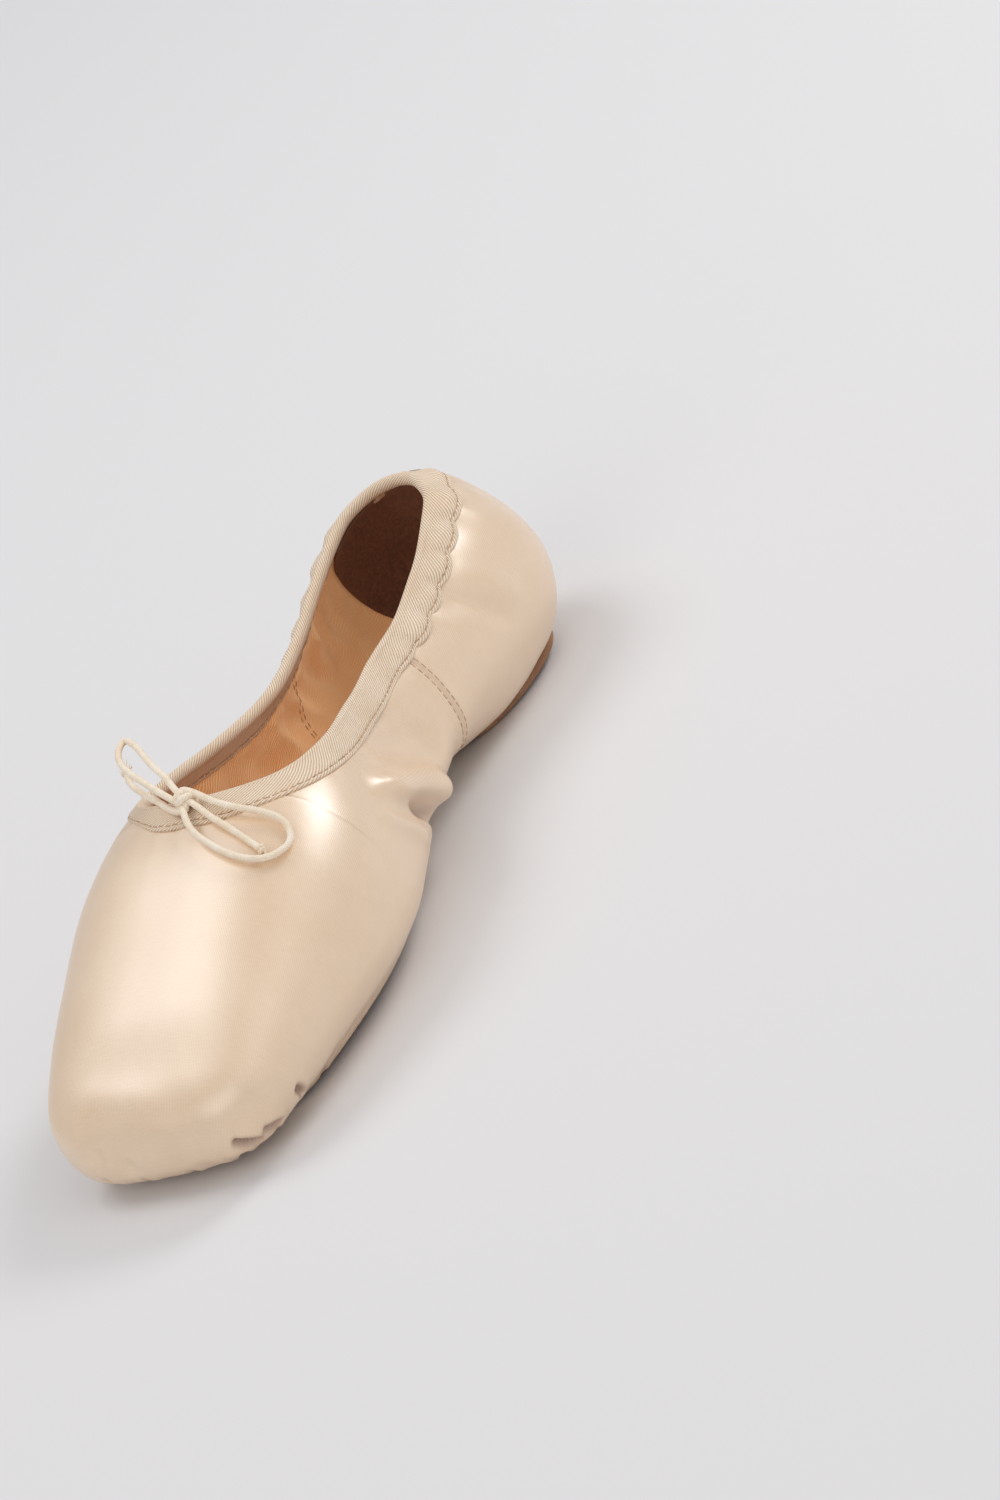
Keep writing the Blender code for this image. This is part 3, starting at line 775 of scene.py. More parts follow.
# These brown thread tones are partly the thread's own colour and partly painted shade, darkened to stand in
# for the shade under and between the stitches
threadAndShadeFinish = makeThread("thread", tone(190, 154, 118), tone(218, 186, 152), 0, 0.05)
seamThreadAndShadeFinish = makeThread("bindingThreadAndShade", tone(176, 140, 106), tone(212, 178, 144), 0, 0.05)
cordFinish = makeThread("elasticCord", tone(244, 224, 196), tone(253, 241, 222), 0.5, 0.035)


def finish(piece, material):
    piece.data.materials.clear()
    piece.data.materials.append(material)
    return piece


# The camera stands where the photograph was taken from, turned and rolled as it was against the shoe
camera = {
    "azimuth": 39.224,
    "elevation": 24.357,
    "roll": -31.782,
    "distance": 1.83239,
    "aim": (0.0, 0.0, 0.025),
    "pixelsPerMetre": 4136.07,
    "aimPixel": (311.357, 810.799),
    "image": (1000, 1500),
}


def makeCamera():
    turn, rise, roll = (math.radians(camera[key]) for key in ("azimuth", "elevation", "roll"))
    back = Vector((math.sin(turn) * math.cos(rise), -math.cos(turn) * math.cos(rise), math.sin(rise)))
    level = Vector((math.cos(turn), math.sin(turn), 0.0))
    right = math.cos(roll) * level + math.sin(roll) * back.cross(level)
    axes = Matrix((right, back.cross(right), back)).transposed()
    focal = camera["pixelsPerMetre"] * camera["distance"]
    u, v = camera["aimPixel"]
    width, height = camera["image"]
    ray = Vector(((u - width / 2) / focal, (height / 2 - v) / focal, -1.0))
    axes = axes @ ray.rotation_difference(Vector((0, 0, -1))).to_matrix()
    data = bpy.data.cameras.new("camera")
    data.sensor_fit = "HORIZONTAL"
    data.sensor_width = 36.0
    data.lens = focal / width * data.sensor_width
    made = bpy.data.objects.new("camera", data)
    made.matrix_world = Matrix.Translation(Vector(camera["aim"]) + back * camera["distance"]) @ axes.to_4x4()
    bpy.context.scene.collection.objects.link(made)
    bpy.context.scene.camera = made


makeCamera()

# The elastic drawstring and its bow. Its route is in shares of the loop's length from the knot,
# and above the closed last of the vamp, as in the CAD.
bow = {
    "cord": 1.7,
    "loop": 0.030,
    "knotSide": 0.0008,
    "knotBack": 0.0037,
    "knotLift": 0.0032,
    # the knot's two turns: shift along the loops, number of turns, radius, tilt
    "wraps": [(-0.9, 1.1, 1.75, 0.25), (0.9, 1.0, 1.85, -0.35)],
    "wrapStart": 250,
    "wrapFlat": 0.85,
    "wrapRun": 1.1,
    "loopsRun": (0.72, -0.62, -0.10),
    "strands": {"Near": 3, "Far": 9},
    "exitNear": [(-0.02, 0.05, -0.02), (-0.04, -0.02, 0.04)],
    "loopNear": [
        (0.02, -0.105, 0.11), (0.17, -0.32, 0.10), (0.41, -0.49, 0.08), (0.66, -0.59, 0.07),
        (0.85, -0.57, 0.06), (0.97, -0.45, 0.06), (0.99, -0.32, 0.06), (0.91, -0.20, 0.07),
        (0.75, -0.16, 0.08), (0.55, -0.14, 0.09), (0.34, -0.09, 0.11), (0.11, 0.03, 0.12),
    ],
    "turnNear": [(-0.01, 0.06, 0.15), (-0.03, 0.0, 0.14)],
    "endNear": [(0.10, -0.05, 0.10), (0.31, -0.20, 0.08), (0.53, -0.33, 0.06), (0.81, -0.49, 0.05)],
    "exitFar": [(0.03, 0.05, -0.02), (0.05, 0.04, 0.05)],
    "loopFar": [
        (-0.07, 0.07, 0.12), (-0.23, 0.22, 0.19), (-0.41, 0.37, 0.26), (-0.63, 0.59, 0.38),
        (-0.76, 0.68, 0.47), (-0.79, 0.62, 0.48), (-0.76, 0.49, 0.42), (-0.64, 0.35, 0.32),
        (-0.40, 0.18, 0.21), (-0.10, 0.00, 0.13),
    ],
    "turnFar": [(0.03, -0.06, 0.10), (0.0, -0.08, 0.08)],
    "endFar": [
        (-0.11, -0.05, 0.07), (-0.32, 0.10, 0.07), (-0.59, 0.31, 0.09), (-0.76, 0.45, 0.18),
        (-0.84, 0.57, 0.28),
    ],
}


def vampHeight(x, y):
    _, widest, crown = lastHeights(y)
    reach = abs(x) / float(np.interp(y, outline[:, 1], outline[:, 0]))
    over = float(column(sections, 6, y / last["length"]))
    return float(widest + (crown - widest) * (1 - reach**over) ** (1 / over))


def bowPoints(shares):
    points = []
    for across, back, up in shares:
        x = bow["knotSide"] + bow["loop"] * across
        y = last["vamp"] - bow["knotBack"] + bow["loop"] * back
        points.append((x, y + toeBack, vampHeight(x, y) + bow["loop"] * up))
    return points


def makeWrap(name, radius, shift, turns, wide, tilt):
    knotAt = Vector(bowPoints([(0, 0, 0)])[0]) + Vector((0, 0, bow["knotLift"]))
    loops = Vector(bow["loopsRun"]).normalized()
    axis = (loops + Vector((0, 0, tilt))).normalized()
    side = axis.cross(Vector((0, 0, 1))).normalized()
    top = side.cross(axis)
    path = []
    for t in np.linspace(0, 1, 40):
        angle = math.radians(bow["wrapStart"]) + 2 * math.pi * turns * t
        out = (side * math.cos(angle) * wide + top * math.sin(angle) * wide * bow["wrapFlat"]) * mm
        path.append(knotAt + loops * (shift + bow["wrapRun"] * (t - 0.5)) * mm + out)
    return finish(tube(name, path, radius * 0.98, 14), cordFinish)


def makeBow():
    radius = bow["cord"] / 2 * mm
    wraps = [makeWrap(f"knotWrap{k + 1}", radius, *turn) for k, turn in enumerate(bow["wraps"])]
    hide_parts("drawstring_knot")
    for side in ("Near", "Far"):
        route = smoothRoute(
            bowPoints(bow["exit" + side] + bow["loop" + side] + bow["turn" + side] + bow["end" + side])
        )
        length = lengthsAlong(route)[-1]
        path = atDistance(route, np.linspace(0, length, round(length / (0.45 * mm)) + 1))
        cord = finish(tube(f"drawstring{side}", path, radius, 16), cordFinish)
        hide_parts(f"drawstring_loop_{side.lower()}", f"drawstring_end_{side.lower()}")
        tip = makeCordEnd(f"cordEnd{side}", path[-1], unit(path[-1] - path[-4]), radius, bow["strands"][side])
        print(side.lower(), "end of the drawstring is", round(length / mm), "mm long")


# The small knot that the end of the cord is tied in, with its strands coming loose
def makeCordEnd(name, at, way, radius, strands):
    side = unit(np.cross(way, [0.0, 0.2, 1.0]))
    top = np.cross(side, way)
    path = []
    for t in np.linspace(0, 1, 36):
        angle = 2 * math.pi * 1.3 * t
        out = (side * math.cos(angle) + top * math.sin(angle)) * radius * 0.95
        path.append(at + way * radius * (-0.6 + 1.7 * t) + out)
    path.extend([at + way * radius * 2.0 + side * radius * 0.3, at + way * radius * 2.7])
    path = smoothRoute(path, 2)
    size = np.interp(np.linspace(0, 1, len(path)), [0, 0.1, 0.8, 1], [0.5, 0.72, 0.7, 0.42]) * radius
    parts = [tube(name, path, size, 10)]
    for number in range(strands):
        angle = 2.4 * number
        out = side * math.cos(angle) + top * math.sin(angle)
        start = at + way * radius * (0.4 + 0.35 * (number % 4))
        bend = start + out * radius * 1.5 + way * radius * (0.7 + 0.3 * (number % 3))
        tip = bend + out * radius * (0.5 + 0.35 * (number % 2)) + way * radius * 1.1
        line = smoothRoute([start, (start + bend) / 2 + out * radius * 0.3, bend, tip], 4)
        parts.append(tube(f"{name}Strand{number}", line, 0.11 * mm, 5))
    whole = bmesh.new()
    for part in parts:
        whole.from_mesh(part.data)
    for part in parts[1:]:
        bpy.data.objects.remove(part)
    whole.to_mesh(parts[0].data)
    whole.free()
    return finish(parts[0], cordFinish)


print("making the bow")
makeBow()

# Flat pieces on the underside: their outlines on one side, along the piece and share of half its width
soles = {
    "outsole": {
        "front": 27.0,
        "back": 141.6,
        "width": 58.0,
        "outline": [
            (0, 0), (0.004, 0.36), (0.04, 0.70), (0.14, 0.90), (0.32, 1),
            (0.52, 0.95), (0.72, 0.72), (0.88, 0.43), (0.965, 0.22), (1, 0),
        ],
    },
    "heelPad": {
        "front": 172.0,
        "back": 223.0,
        "width": 39.0,
        "outline": [
            (0, 0), (0.03, 0.30), (0.16, 0.62), (0.38, 0.88),
            (0.64, 1), (0.86, 0.88), (0.97, 0.50), (1, 0),
        ],
    },
    "insole": {
        "front": 22.0,
        "back": 222.0,
        "width": 48.0,
        "outline": [
            (0, 0), (0.01, 0.40), (0.05, 0.64), (0.15, 0.87), (0.32, 1), (0.48, 0.86),
            (0.62, 0.60), (0.76, 0.60), (0.88, 0.68), (0.96, 0.50), (0.99, 0.25), (1, 0),
        ],
    },
}


def soleOutline(size):
    half = size["width"] / 2
    span = size["back"] - size["front"]
    points = [(share * half, size["front"] + along * span) for along, share in size["outline"]]
    return smoothThrough(np.array(points)) * mm


# The satin over the outside of the last, with its folds in millimetres of the shoe
satin = {
    # columns of the cloth: up to that length round the outline, that far apart
    "columns": [(62, 0.42), (94, 1.7), (178, 0.8), (400, 1.5)],
    "rows": 128,
    "underTape": 2.0,
    "quarterWave": 0.55,
    "gather": 0.45,
    "folds": [
        # path, half width, height
        ([(34, -19, 40), (34, -12, 34), (32, -3, 29), (29, 7, 22), (23, 19, 12)], 3.7, 4.6),
        ([(34, -9, 27), (33, -5, 23), (31, 0, 18), (28, 5, 12), (24, 10, 6)], 2.3, -4.2),
        ([(31, -6, 42), (29, 6, 36), (26, 18, 28), (24, 26, 18)], 5.0, -1.8),
        ([(38, -27, 37), (38, -22, 31), (36, -14, 22), (33, -8, 13)], 3.0, 1.5),
        (
            [(-27, -100, 21), (-19, -106, 27), (-9, -109, 27), (1, -111, 25), (6, -115, 19), (9, -116, 12)],
            4.6,
            0.2,
        ),
        ([(-19, -111, 17), (-8, -115, 17), (0, -116, 15)], 5.5, -0.9),
        ([(-33, -20, 44), (-34, -10, 37), (-32, 1, 29), (-27, 11, 18)], 5.5, 2.0),
        ([(-35, -12, 30), (-33, -3, 22), (-28, 8, 12)], 4.0, -1.8),
        ([(-30, -4, 41), (-27, 10, 33), (-25, 22, 24)], 5.5, -1.1),
        ([(22, 58, 43), (27, 64, 34), (30, 72, 22)], 2.6, -1.0),
        ([(21, 66, 46), (27, 73, 34), (30, 80, 24)], 3.5, 0.8),
        ([(-22, 54, 42), (-27, 62, 32), (-29, 72, 20)], 2.8, -0.9),
        ([(-20, 70, 47), (-27, 76, 36)], 3.5, 0.7),
        ([(25, 24, 38), (27, 30, 24), (22, 38, 11)], 6.0, -0.7),
        ([(-25, 26, 38), (-27, 33, 24), (-22, 42, 11)], 6.0, -0.7),
    ],
    "dents": [
        # place, half width, depth
        ((-14, -116, 15), 1.8, 0.8),
        ((-7, -117, 11), 2.4, 0.9),
        ((12, -117, 5), 2.4, 0.9),
    ],
    # open mouths of the largest pleats: path, half width, depth
    "gashes": [
        ([(33.5, -99, 11.5), (33, -97, 9.5), (31.5, -95, 6)], 1.0, 2.6),
        ([(26.5, -109.5, 9.5), (28.5, -107, 8), (30, -104, 6)], 1.15, 3.0),
        ([(21, -114.5, 11), (23.5, -113, 9), (26.5, -110, 5.5)], 1.1, 3.0),
        ([(17, -116.5, 6), (19, -114.5, 4.6), (21, -112, 3.4)], 1.0, 2.4),
        ([(-33, -101, 13), (-33, -98, 10), (-31, -95, 6)], 0.9, 1.8),
        ([(-26, -110, 10), (-28.5, -106.5, 8), (-30, -103, 5.5)], 1.0, 2.2),
    ],
    "seamAt": 38.0,
    "lid": {
        "path": [(34, -15, 37), (34, -10, 32), (32, -3, 28), (29, 6, 21), (24, 16, 12)],
        "width": 2.7,
        "slide": (0.5, -1.1, -2.2),
    },
    "welt": {"height": 1.7, "width": 1.7, "out": 1.5, "below": 14},
    # pleats drawn under the toe: bearing from straight ahead in degrees, height of the mouth, width, depth
    "pleats": [
        (-99, 9, 0.9, 1.6), (-83, 7, 0.8, 1.4), (-67, 10, 0.9, 1.8), (-52, 7, 0.8, 1.5),
        (-39, 7, 0.8, 1.6), (-25, 10, 0.7, 1.0), (-13, 8, 0.7, 0.9), (-1, 5, 0.8, 1.2),
        (13, 7, 0.8, 1.2), (24, 5, 0.8, 1.3), (37, 7, 0.9, 1.6), (51, 7, 0.9, 1.6), (66, 8, 0.9, 1.6),
        (80, 7, 0.8, 1.4), (95, 9, 0.8, 1.4),
    ],
}


# The satin swells up round the outsole, so that the leather is set into it
def weltRound(points):
    edge = soleOutline(soles["outsole"])[::10] / mm
    path = np.stack([edge[:, 0], edge[:, 1], 0 * edge[:, 0]], axis=-1)
    flat = np.stack([np.abs(points[:, 0]), points[:, 1] - toeBack, 0 * points[:, 0]], axis=-1)
    apart = fromPath(flat, path)[0] / mm
    half = np.interp(flat[:, 1], edge[:, 1] * mm, edge[:, 0] * mm, left=0, right=0)
    welt = satin["welt"]
    outside = (flat[:, 0] > half) & (points[:, 2] < welt["below"] * mm)
    swell = np.exp(-(((apart - welt["out"]) / welt["width"]) ** 2)) * welt["height"] * mm
    return np.where(outside, swell, 0.0)


# The stiff wing's end pushes the soft quarter into a lid over the hollow below it
def lidSlide(points):
    lid = satin["lid"]
    return fold(points, lid["path"], lid["width"], 1.0, 0.3)[:, None] * np.array(lid["slide"])


# Pleats run together under the toe fan's pole: each is a groove with a lap beside it, wider further out
def toePleats(points):
    poleY = toeBack + last["toeFan"]
    ahead = poleY - points[:, 1]
    away = np.hypot(points[:, 0], ahead)
    bearing = np.arctan2(points[:, 0], ahead)
    raised = np.zeros(len(points))
    for number, (degrees, mouth, width, depth) in enumerate(satin["pleats"]):
        lean = 0.06 * math.sin(number * 2.3)
        turned = bearing - math.radians(degrees) - lean * np.clip(points[:, 2] / (10 * mm), 0, 1)
        aside = away * np.sin(turned) / mm
        inFront = (np.cos(turned) > 0) & (away > 6 * mm)
        reach = ease(mouth * mm, (mouth - 3.5) * mm, points[:, 2])
        spread = width * (0.45 + 0.75 * ease(16 * mm, 40 * mm, away))
        groove = -depth * np.exp(-np.abs(aside / spread) ** 1.5)
        lap = 0.22 * depth * np.exp(-(((aside - 2.0 * spread) / (1.3 * spread)) ** 2))
        raised += np.where(inFront, reach * (groove + lap), 0.0) * mm
    return raised * ease(6 * mm, 12 * mm, away)


# Painted shade where the cloth is folded in: how far its colour is darkened to brown, from 0 to 1
def paintedCreaseShade(points):
    shade = np.clip(-toePleats(points) / (1.8 * mm), 0, 1) * 0.7
    for path, width, _ in satin["gashes"]:
        shade += fold(points, path, 1.25 * width, 1.25, 0.15) / mm
    hollow = satin["folds"][1][0]
    return np.clip(shade + fold(points, hollow, 1.9, 0.5, 0.3) / mm, 0, 1)


# How the tape's stitching gathers the cloth below it, strongest round the heel
def gathers(points, seed, reach, loose):
    apart, where = fromPath(points, throat[::6] / mm)
    around = (where - 0.5) * aroundThroat / mm
    softness = loose + (1 - loose) * ease(60, 120, np.abs(around))
    wave = np.sin(around / 1.35 + 2.2 * np.sin(around / 6.1 + seed)) * 0.6 + np.sin(around / 2.4 + seed) * 0.5
    fade = np.exp(-np.maximum(apart / mm - 8.5, 0) / reach) * ease(1.5, 7.0, apart / mm)
    return wave * fade * softness * mm


def satinShape(points):
    raised = np.zeros(len(points))
    for path, width, height in satin["folds"]:
        raised += fold(points, path, width, height)
    for place, width, depth in satin["dents"]:
        apart = np.linalg.norm(points - np.array(place) * mm, axis=1) / (width * mm)
        raised -= depth * mm * np.exp(-(apart**2))
    raised += toePleats(points)
    for path, width, depth in satin["gashes"]:
        raised += fold(points, path, width, -depth, 0.2)
        raised += fold(points, path, 3.0 * width, 0.25 * depth, 0.3)
    seam = np.abs(points[:, 1] / mm - satin["seamAt"])
    raised -= 0.4 * mm * np.exp(-((seam / 0.5) ** 2)) - 0.25 * mm * np.exp(-(((seam - 1.7) / 1.2) ** 2))
    # 0 over the stiff box and 1 over the soft quarters
    soft = ease(-12 * mm, 14 * mm, points[:, 1])
    raised += satin["quarterWave"] * mm * soft * softNoise(points, 22, 1.7)
    raised += 0.10 * mm * softNoise(points, 30, 4.1)
    raised += satin["gather"] * gathers(points, 0.4, 7.0, 0.15)
    underneath = ease(5 * mm, 2.6 * mm, points[:, 2]) * ease(36 * mm, 44 * mm, points[:, 1] - toeBack)
    return raised * (1 - underneath) + weltRound(points) - 0.05 * mm


def makeSatin():
    places, start = [np.array([aroundLast])], 0.0
    for end, step in satin["columns"]:
        places.append(np.arange(start, min(end * mm, aroundLast - 0.3 * mm), step * mm))
        start = end * mm
    places.append(outlineAt(satin["seamAt"]) + np.array([-1.7, -0.8, -0.35, 0, 0.35, 0.8, 1.7]) * mm)
    places = np.unique(np.concatenate(places))
    shares = np.linspace(0, 1, satin["rows"])
    points, pattern = wholeSurface(places, shares, openingUnder, underTape(satin["underTape"]))
    shell = clothGrid("satinUpper", points, pattern)
    places, normals = corners(shell)
    moveCorners(shell, places + normals * satinShape(places)[:, None] + lidSlide(places))
    # The painted fold shade, stored on the points to darken the satin's colour
    layer = shell.data.attributes.new("paintedShade", "FLOAT", "POINT")
    layer.data.foreach_set("value", paintedCreaseShade(places))
    finish(shell, satinFinish)
    print("satin triangles", sum(len(face.vertices) - 2 for face in shell.data.polygons))
    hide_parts("upper")
    return shell


print("making the satin")
satinShell = makeSatin()

# The lining, seen inside the throat, slacker than the satin
lining = {
    "step": 1.5,
    "rows": 90,
    "depth": 2.0,
    "underTape": 3.0,
    "wave": 0.5,
    "gather": 1.2,
    "folds": [
        ([(-26, 0, 40), (-29, 6, 28), (-26, 12, 14)], 3.0, -1.6),
        ([(-24, 14, 38), (-25, 22, 26), (-20, 30, 14)], 3.0, 1.4),
        ([(-22, 17, 35), (-23, 19, 28), (-21, 22, 18)], 2.0, -2.2),
        ([(-24, 27, 38), (-25, 33, 28), (-22, 38, 16)], 2.2, -1.8),
        ([(-21, 41, 36), (-23, 45, 29), (-25, 55, 18)], 2.0, -2.4),
        ([(-23, 47, 37), (-26, 53, 26), (-23, 60, 15)], 2.6, 1.5),
        ([(-22, 61, 40), (-25, 66, 33), (-27, 72, 22)], 1.9, -2.6),
        ([(-25, 70, 36), (-27, 76, 28), (-27, 80, 21), (-26, 84, 15)], 1.8, -2.4),
        ([(-24, 56, 38), (-27, 61, 28), (-26, 68, 16)], 2.2, 1.3),
        ([(26, 0, 40), (29, 6, 28), (26, 12, 14)], 3.0, -1.5),
        ([(24, 20, 38), (25, 28, 26), (21, 34, 14)], 3.0, 1.3),
        ([(23, 46, 37), (26, 53, 26), (23, 60, 15)], 3.0, -1.4),
        ([(-34, -24, 38), (-30, 0, 12)], 4.0, 1.0),
    ],
}


def liningShape(points):
    raised = np.zeros(len(points))
    for path, width, height in lining["folds"]:
        raised += fold(points, path, width, height)
    raised += lining["wave"] * mm * softNoise(points, 15, 9.3) * ease(-45 * mm, -20 * mm, points[:, 1])
    raised += lining["gather"] * gathers(points, 1.9, 9.0, 0.6)
    raised *= ease(10 * mm, 16 * mm, points[:, 2])
    return np.where(raised < 0, raised * clearOfTape(points), np.minimum(raised, 1.1 * mm))


# None beside the throat, where the tape's inner band lies, and all a little below it
def clearOfTape(points):
    return ease(7.6, 10.5, fromPath(points, throat[::6] / mm)[0] / mm)


def makeLining():
    places = np.linspace(0, aroundLast, round(aroundLast / (lining["step"] * mm)))
    shares = np.linspace(0, 1, lining["rows"])
    points, pattern = wholeSurface(places, shares, fromTheMiddle, underTape(lining["underTape"]))
    skin = clothGrid("lining", points, pattern, inwards=True)
    places, normals = corners(skin)
    hollow = np.minimum(satinShape(places), 0) * clearOfTape(places)
    moveCorners(skin, places + normals * (lining["depth"] * mm - hollow - liningShape(places))[:, None])
    return finish(skin, liningFinish)


print("making the lining")
liningSkin = makeLining()

# The tape bound over the throat's edge: a band outside, a roll with the cord in it, and a band inside
tape = {
    "width": 8.2,
    "inside": 7.4,
    "thick": 0.55,
    "roll": 1.65,
    "rollAt": 1.0,
    "rollDepth": -1.0,
    "innerDepth": -2.55,
    "stitchLift": 0.14,
    "stitchFromEdge": 1.2,
    "scallop": 1.6,
    "puff": 1.5,
    "scallopLength": 10.5,
    "scallopRun": 78,
    "pucker": 0.16,
    "overlap": 0.4,
    # width of the outer band by the distance round the throat from the middle of the front
    "widths": [
        (-60, 8.2), (-36, 7.6), (-28, 5.4), (-22, 4.2), (-17, 4.3), (-13, 5.8), (-8, 8.4), (-3, 9.4),
        (1, 9.2), (2.4, 8.6), (4, 9.8), (9, 10.0), (15, 9.0), (25, 8.5), (40, 8.2),
    ],
}


# The tape's three parts as distances down from the throat's edge and out from the last
def tapeProfile():
    width, thick, inside = tape["width"], tape["thick"], tape["inside"]
    rollAt, depth, radius = tape["rollAt"], tape["rollDepth"], tape["roll"]
    outer = [(width - 0.15, -0.3), (width, 0.1), (width - 0.03, 0.4), (width - 0.3, thick)]
    outer += [(down, thick) for down in np.arange(width - 0.6, rollAt, -0.3)]
    angles = np.linspace(math.pi / 2, -math.pi / 2, 15)
    roll = [(rollAt - radius * math.cos(angle), depth + radius * math.sin(angle)) for angle in angles]
    inner = [(down, tape["innerDepth"]) for down in np.arange(rollAt + 0.4, inside - 0.2, 0.3)]
    inner += [(inside, -2.5), (inside + 0.12, -2.3), (inside, -1.7)]
    return np.array(outer), np.array(roll), np.array(inner)


# How far the tape is raised, and how far its edge reaches down, in scallops round the heel
def tapeBumps(around, down, inside):
    scallopsFrom = aroundThroat / 2 / mm - tape["scallopRun"]
    heel = ease(scallopsFrom, scallopsFrom + 22, np.abs(around))
    swell = np.abs(np.sin(math.pi * (around + 2.2 * np.sin(around / 17.0)) / tape["scallopLength"])) ** 0.8
    edge = down / tape["width"]
    puff = (swell - 0.35) * heel * np.exp(-(((edge - 0.72) / 0.25) ** 2)) * (0.25 if inside else 1.0)
    ripple = np.sin(around / 0.62 + 1.5 * np.sin(around / 3.1))
    ripple = ripple * np.exp(-(((down - tape["width"] + 1.6) / 1.3) ** 2))
    width = tape["inside"] if inside else tape["width"]
    trough = -0.28 * np.exp(-(((down - width + tape["stitchFromEdge"]) / 0.28) ** 2))
    slack = 0.10 * np.sin(around / 5.3 + down * 0.3) + 0.07 * np.sin(around / 2.9 - down * 0.5)
    raised = tape["puff"] * puff + tape["pucker"] * ripple + trough + slack
    return raised, heel * (swell - 0.45) * tape["scallop"]


def tapePoint(columns, down, out, inside):
    around = (lengthsAlong(throat)[columns] - aroundThroat / 2) / mm
    raised, reach = tapeBumps(around, down, inside)
    spread = down + reach * np.clip(down / tape["width"], 0, 1) ** 3 * (0.0 if inside else 1.0)
    if not inside:
        wide = np.interp(around, *zip(*tape["widths"]))
        wide = np.convolve(np.pad(wide, 2, mode="edge"), np.ones(5) / 5, mode="valid")
        pastRoll = np.where(spread > tape["rollAt"], 1, 0) * (spread - tape["rollAt"])
        spread = pastRoll * (wide / tape["width"] - 1) + spread
    # the near end of the tape laps over the far one at the middle of the front
    lapped = tape["overlap"] * ease(-0.6, 0.2, around) * ease(14.0, 6.0, around)
    lapped = lapped * np.clip(2.0 - down / 6.0, 0.5, 1)
    seam = -0.35 * np.exp(-((around / 0.45) ** 2)) * np.clip(down, 0, 1)
    sign = -1.0 if inside else 1.0
    return bandPoints(columns, spread, out + sign * raised * np.clip(down, 0, 1) + sign * (lapped + seam))


def makeTape():
    outer, roll, inner = tapeProfile()
    columns = np.arange(len(throat))
    rows, pattern = [], []
    across = 0.0
    along = lengthsAlong(throat)
    before = None
    for part, inside in ((outer, False), (roll, None), (inner, True)):
        for down, out in part:
            downs = np.full(len(columns), down)
            outs = np.full(len(columns), out)
            if inside is None:
                row = bandPoints(columns, downs, outs)
            else:
                row = tapePoint(columns, downs, outs, inside)
            rows.append(row)
            if before is not None:
                across += math.hypot(down - before[0], out - before[1]) * mm
            before = (down, out)
            pattern.append(np.stack([along, np.full(len(along), across)], axis=-1))
    points = np.stack(rows, axis=1)
    points[0] = points[-1] = (points[0] + points[-1]) / 2
    piece = clothGrid("bindingTape", points, np.stack(pattern, axis=1))
    finish(piece, tapeFinish)
    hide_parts("binding")
    normals = throatNormals[:, 16]
    stitched = []
    for width, out, inside in (
        (tape["width"], tape["thick"] + tape["stitchLift"], False),
        (tape["inside"], tape["innerDepth"] - tape["stitchLift"], True),
    ):
        down = np.full(len(columns), width - tape["stitchFromEdge"])
        stitched.append((tapePoint(columns, down, np.full(len(columns), out), inside), normals))
    finish(stitchRows("bindingStitches", stitched), seamThreadAndShadeFinish)


print("making the binding")
makeTape()

# The last's underside straight above a plan point
def underside(x, y):
    found, normal, _, _ = lastTree.ray_cast(Vector((x, y, -0.05)), Vector((0, 0, 1)))
    return found, normal if normal.z < 0 else -normal


# The point of a flat piece's middle line that each point of its edge is drawn out from
def plateMiddles(size, edge):
    half = size["width"] / 2 * mm
    return np.clip(edge[:, 1], size["front"] * mm + half, size["back"] * mm - half)


# Rings round the middle line of a flat piece, out to its edge and up over it. Insets are from the edge,
# and offsets are away from the last's surface, both in millimetres.
def solePlate(name, size, edgeRows, rings, step, inside=False):
    edge = soleOutline(size)
    count = round(lengthsAlong(edge)[-1] / (step * mm))
    edge = atDistance(edge, np.linspace(0, lengthsAlong(edge)[-1], count + 1))
    edge = np.concatenate([edge[:0:-1] * planMirror, edge])
    edge[0, 0] = edge[-1, 0] = 0.0
    middles = plateMiddles(size, edge)
    points = np.zeros((len(edge), rings + len(edgeRows), 3))
    pattern = np.zeros((len(edge), rings + len(edgeRows), 2))
    firstInset, firstOffset = edgeRows[0]
    for i, ((x, y), middle) in enumerate(zip(edge, middles)):
        reach = math.hypot(x, y - middle)
        shares = np.linspace(0, 1, rings, endpoint=False)
        rows = [(reach / mm * (1 - t) + firstInset * t, firstOffset) for t in shares]
        for j, (inset, offset) in enumerate(rows + list(edgeRows)):
            share = max(0.0, 1 - inset * mm / reach) if reach > 0 else 0.0
            place, normal = underside(share * x, middle + share * (y - middle) + toeBack)
            points[i, j] = place + normal * offset * mm
            pattern[i, j] = (share * x, middle + share * (y - middle))
    piece = clothGrid(name, points, pattern, inwards=inside, middle=(0, 0, 0.03), merge=0.02 * mm)
    return piece, edge


outsoleScore = {
    "depth": 0.42,
    "width": 0.42,
    "spacing": 6.4,
    "lean": 33,
    "wander": 1.1,
    "start": 33.0,
    "point": 88.0,
    "spread": 0.62,
    "border": 3.4,
    "rungs": 5.2,
    "curve": 0.004,
}


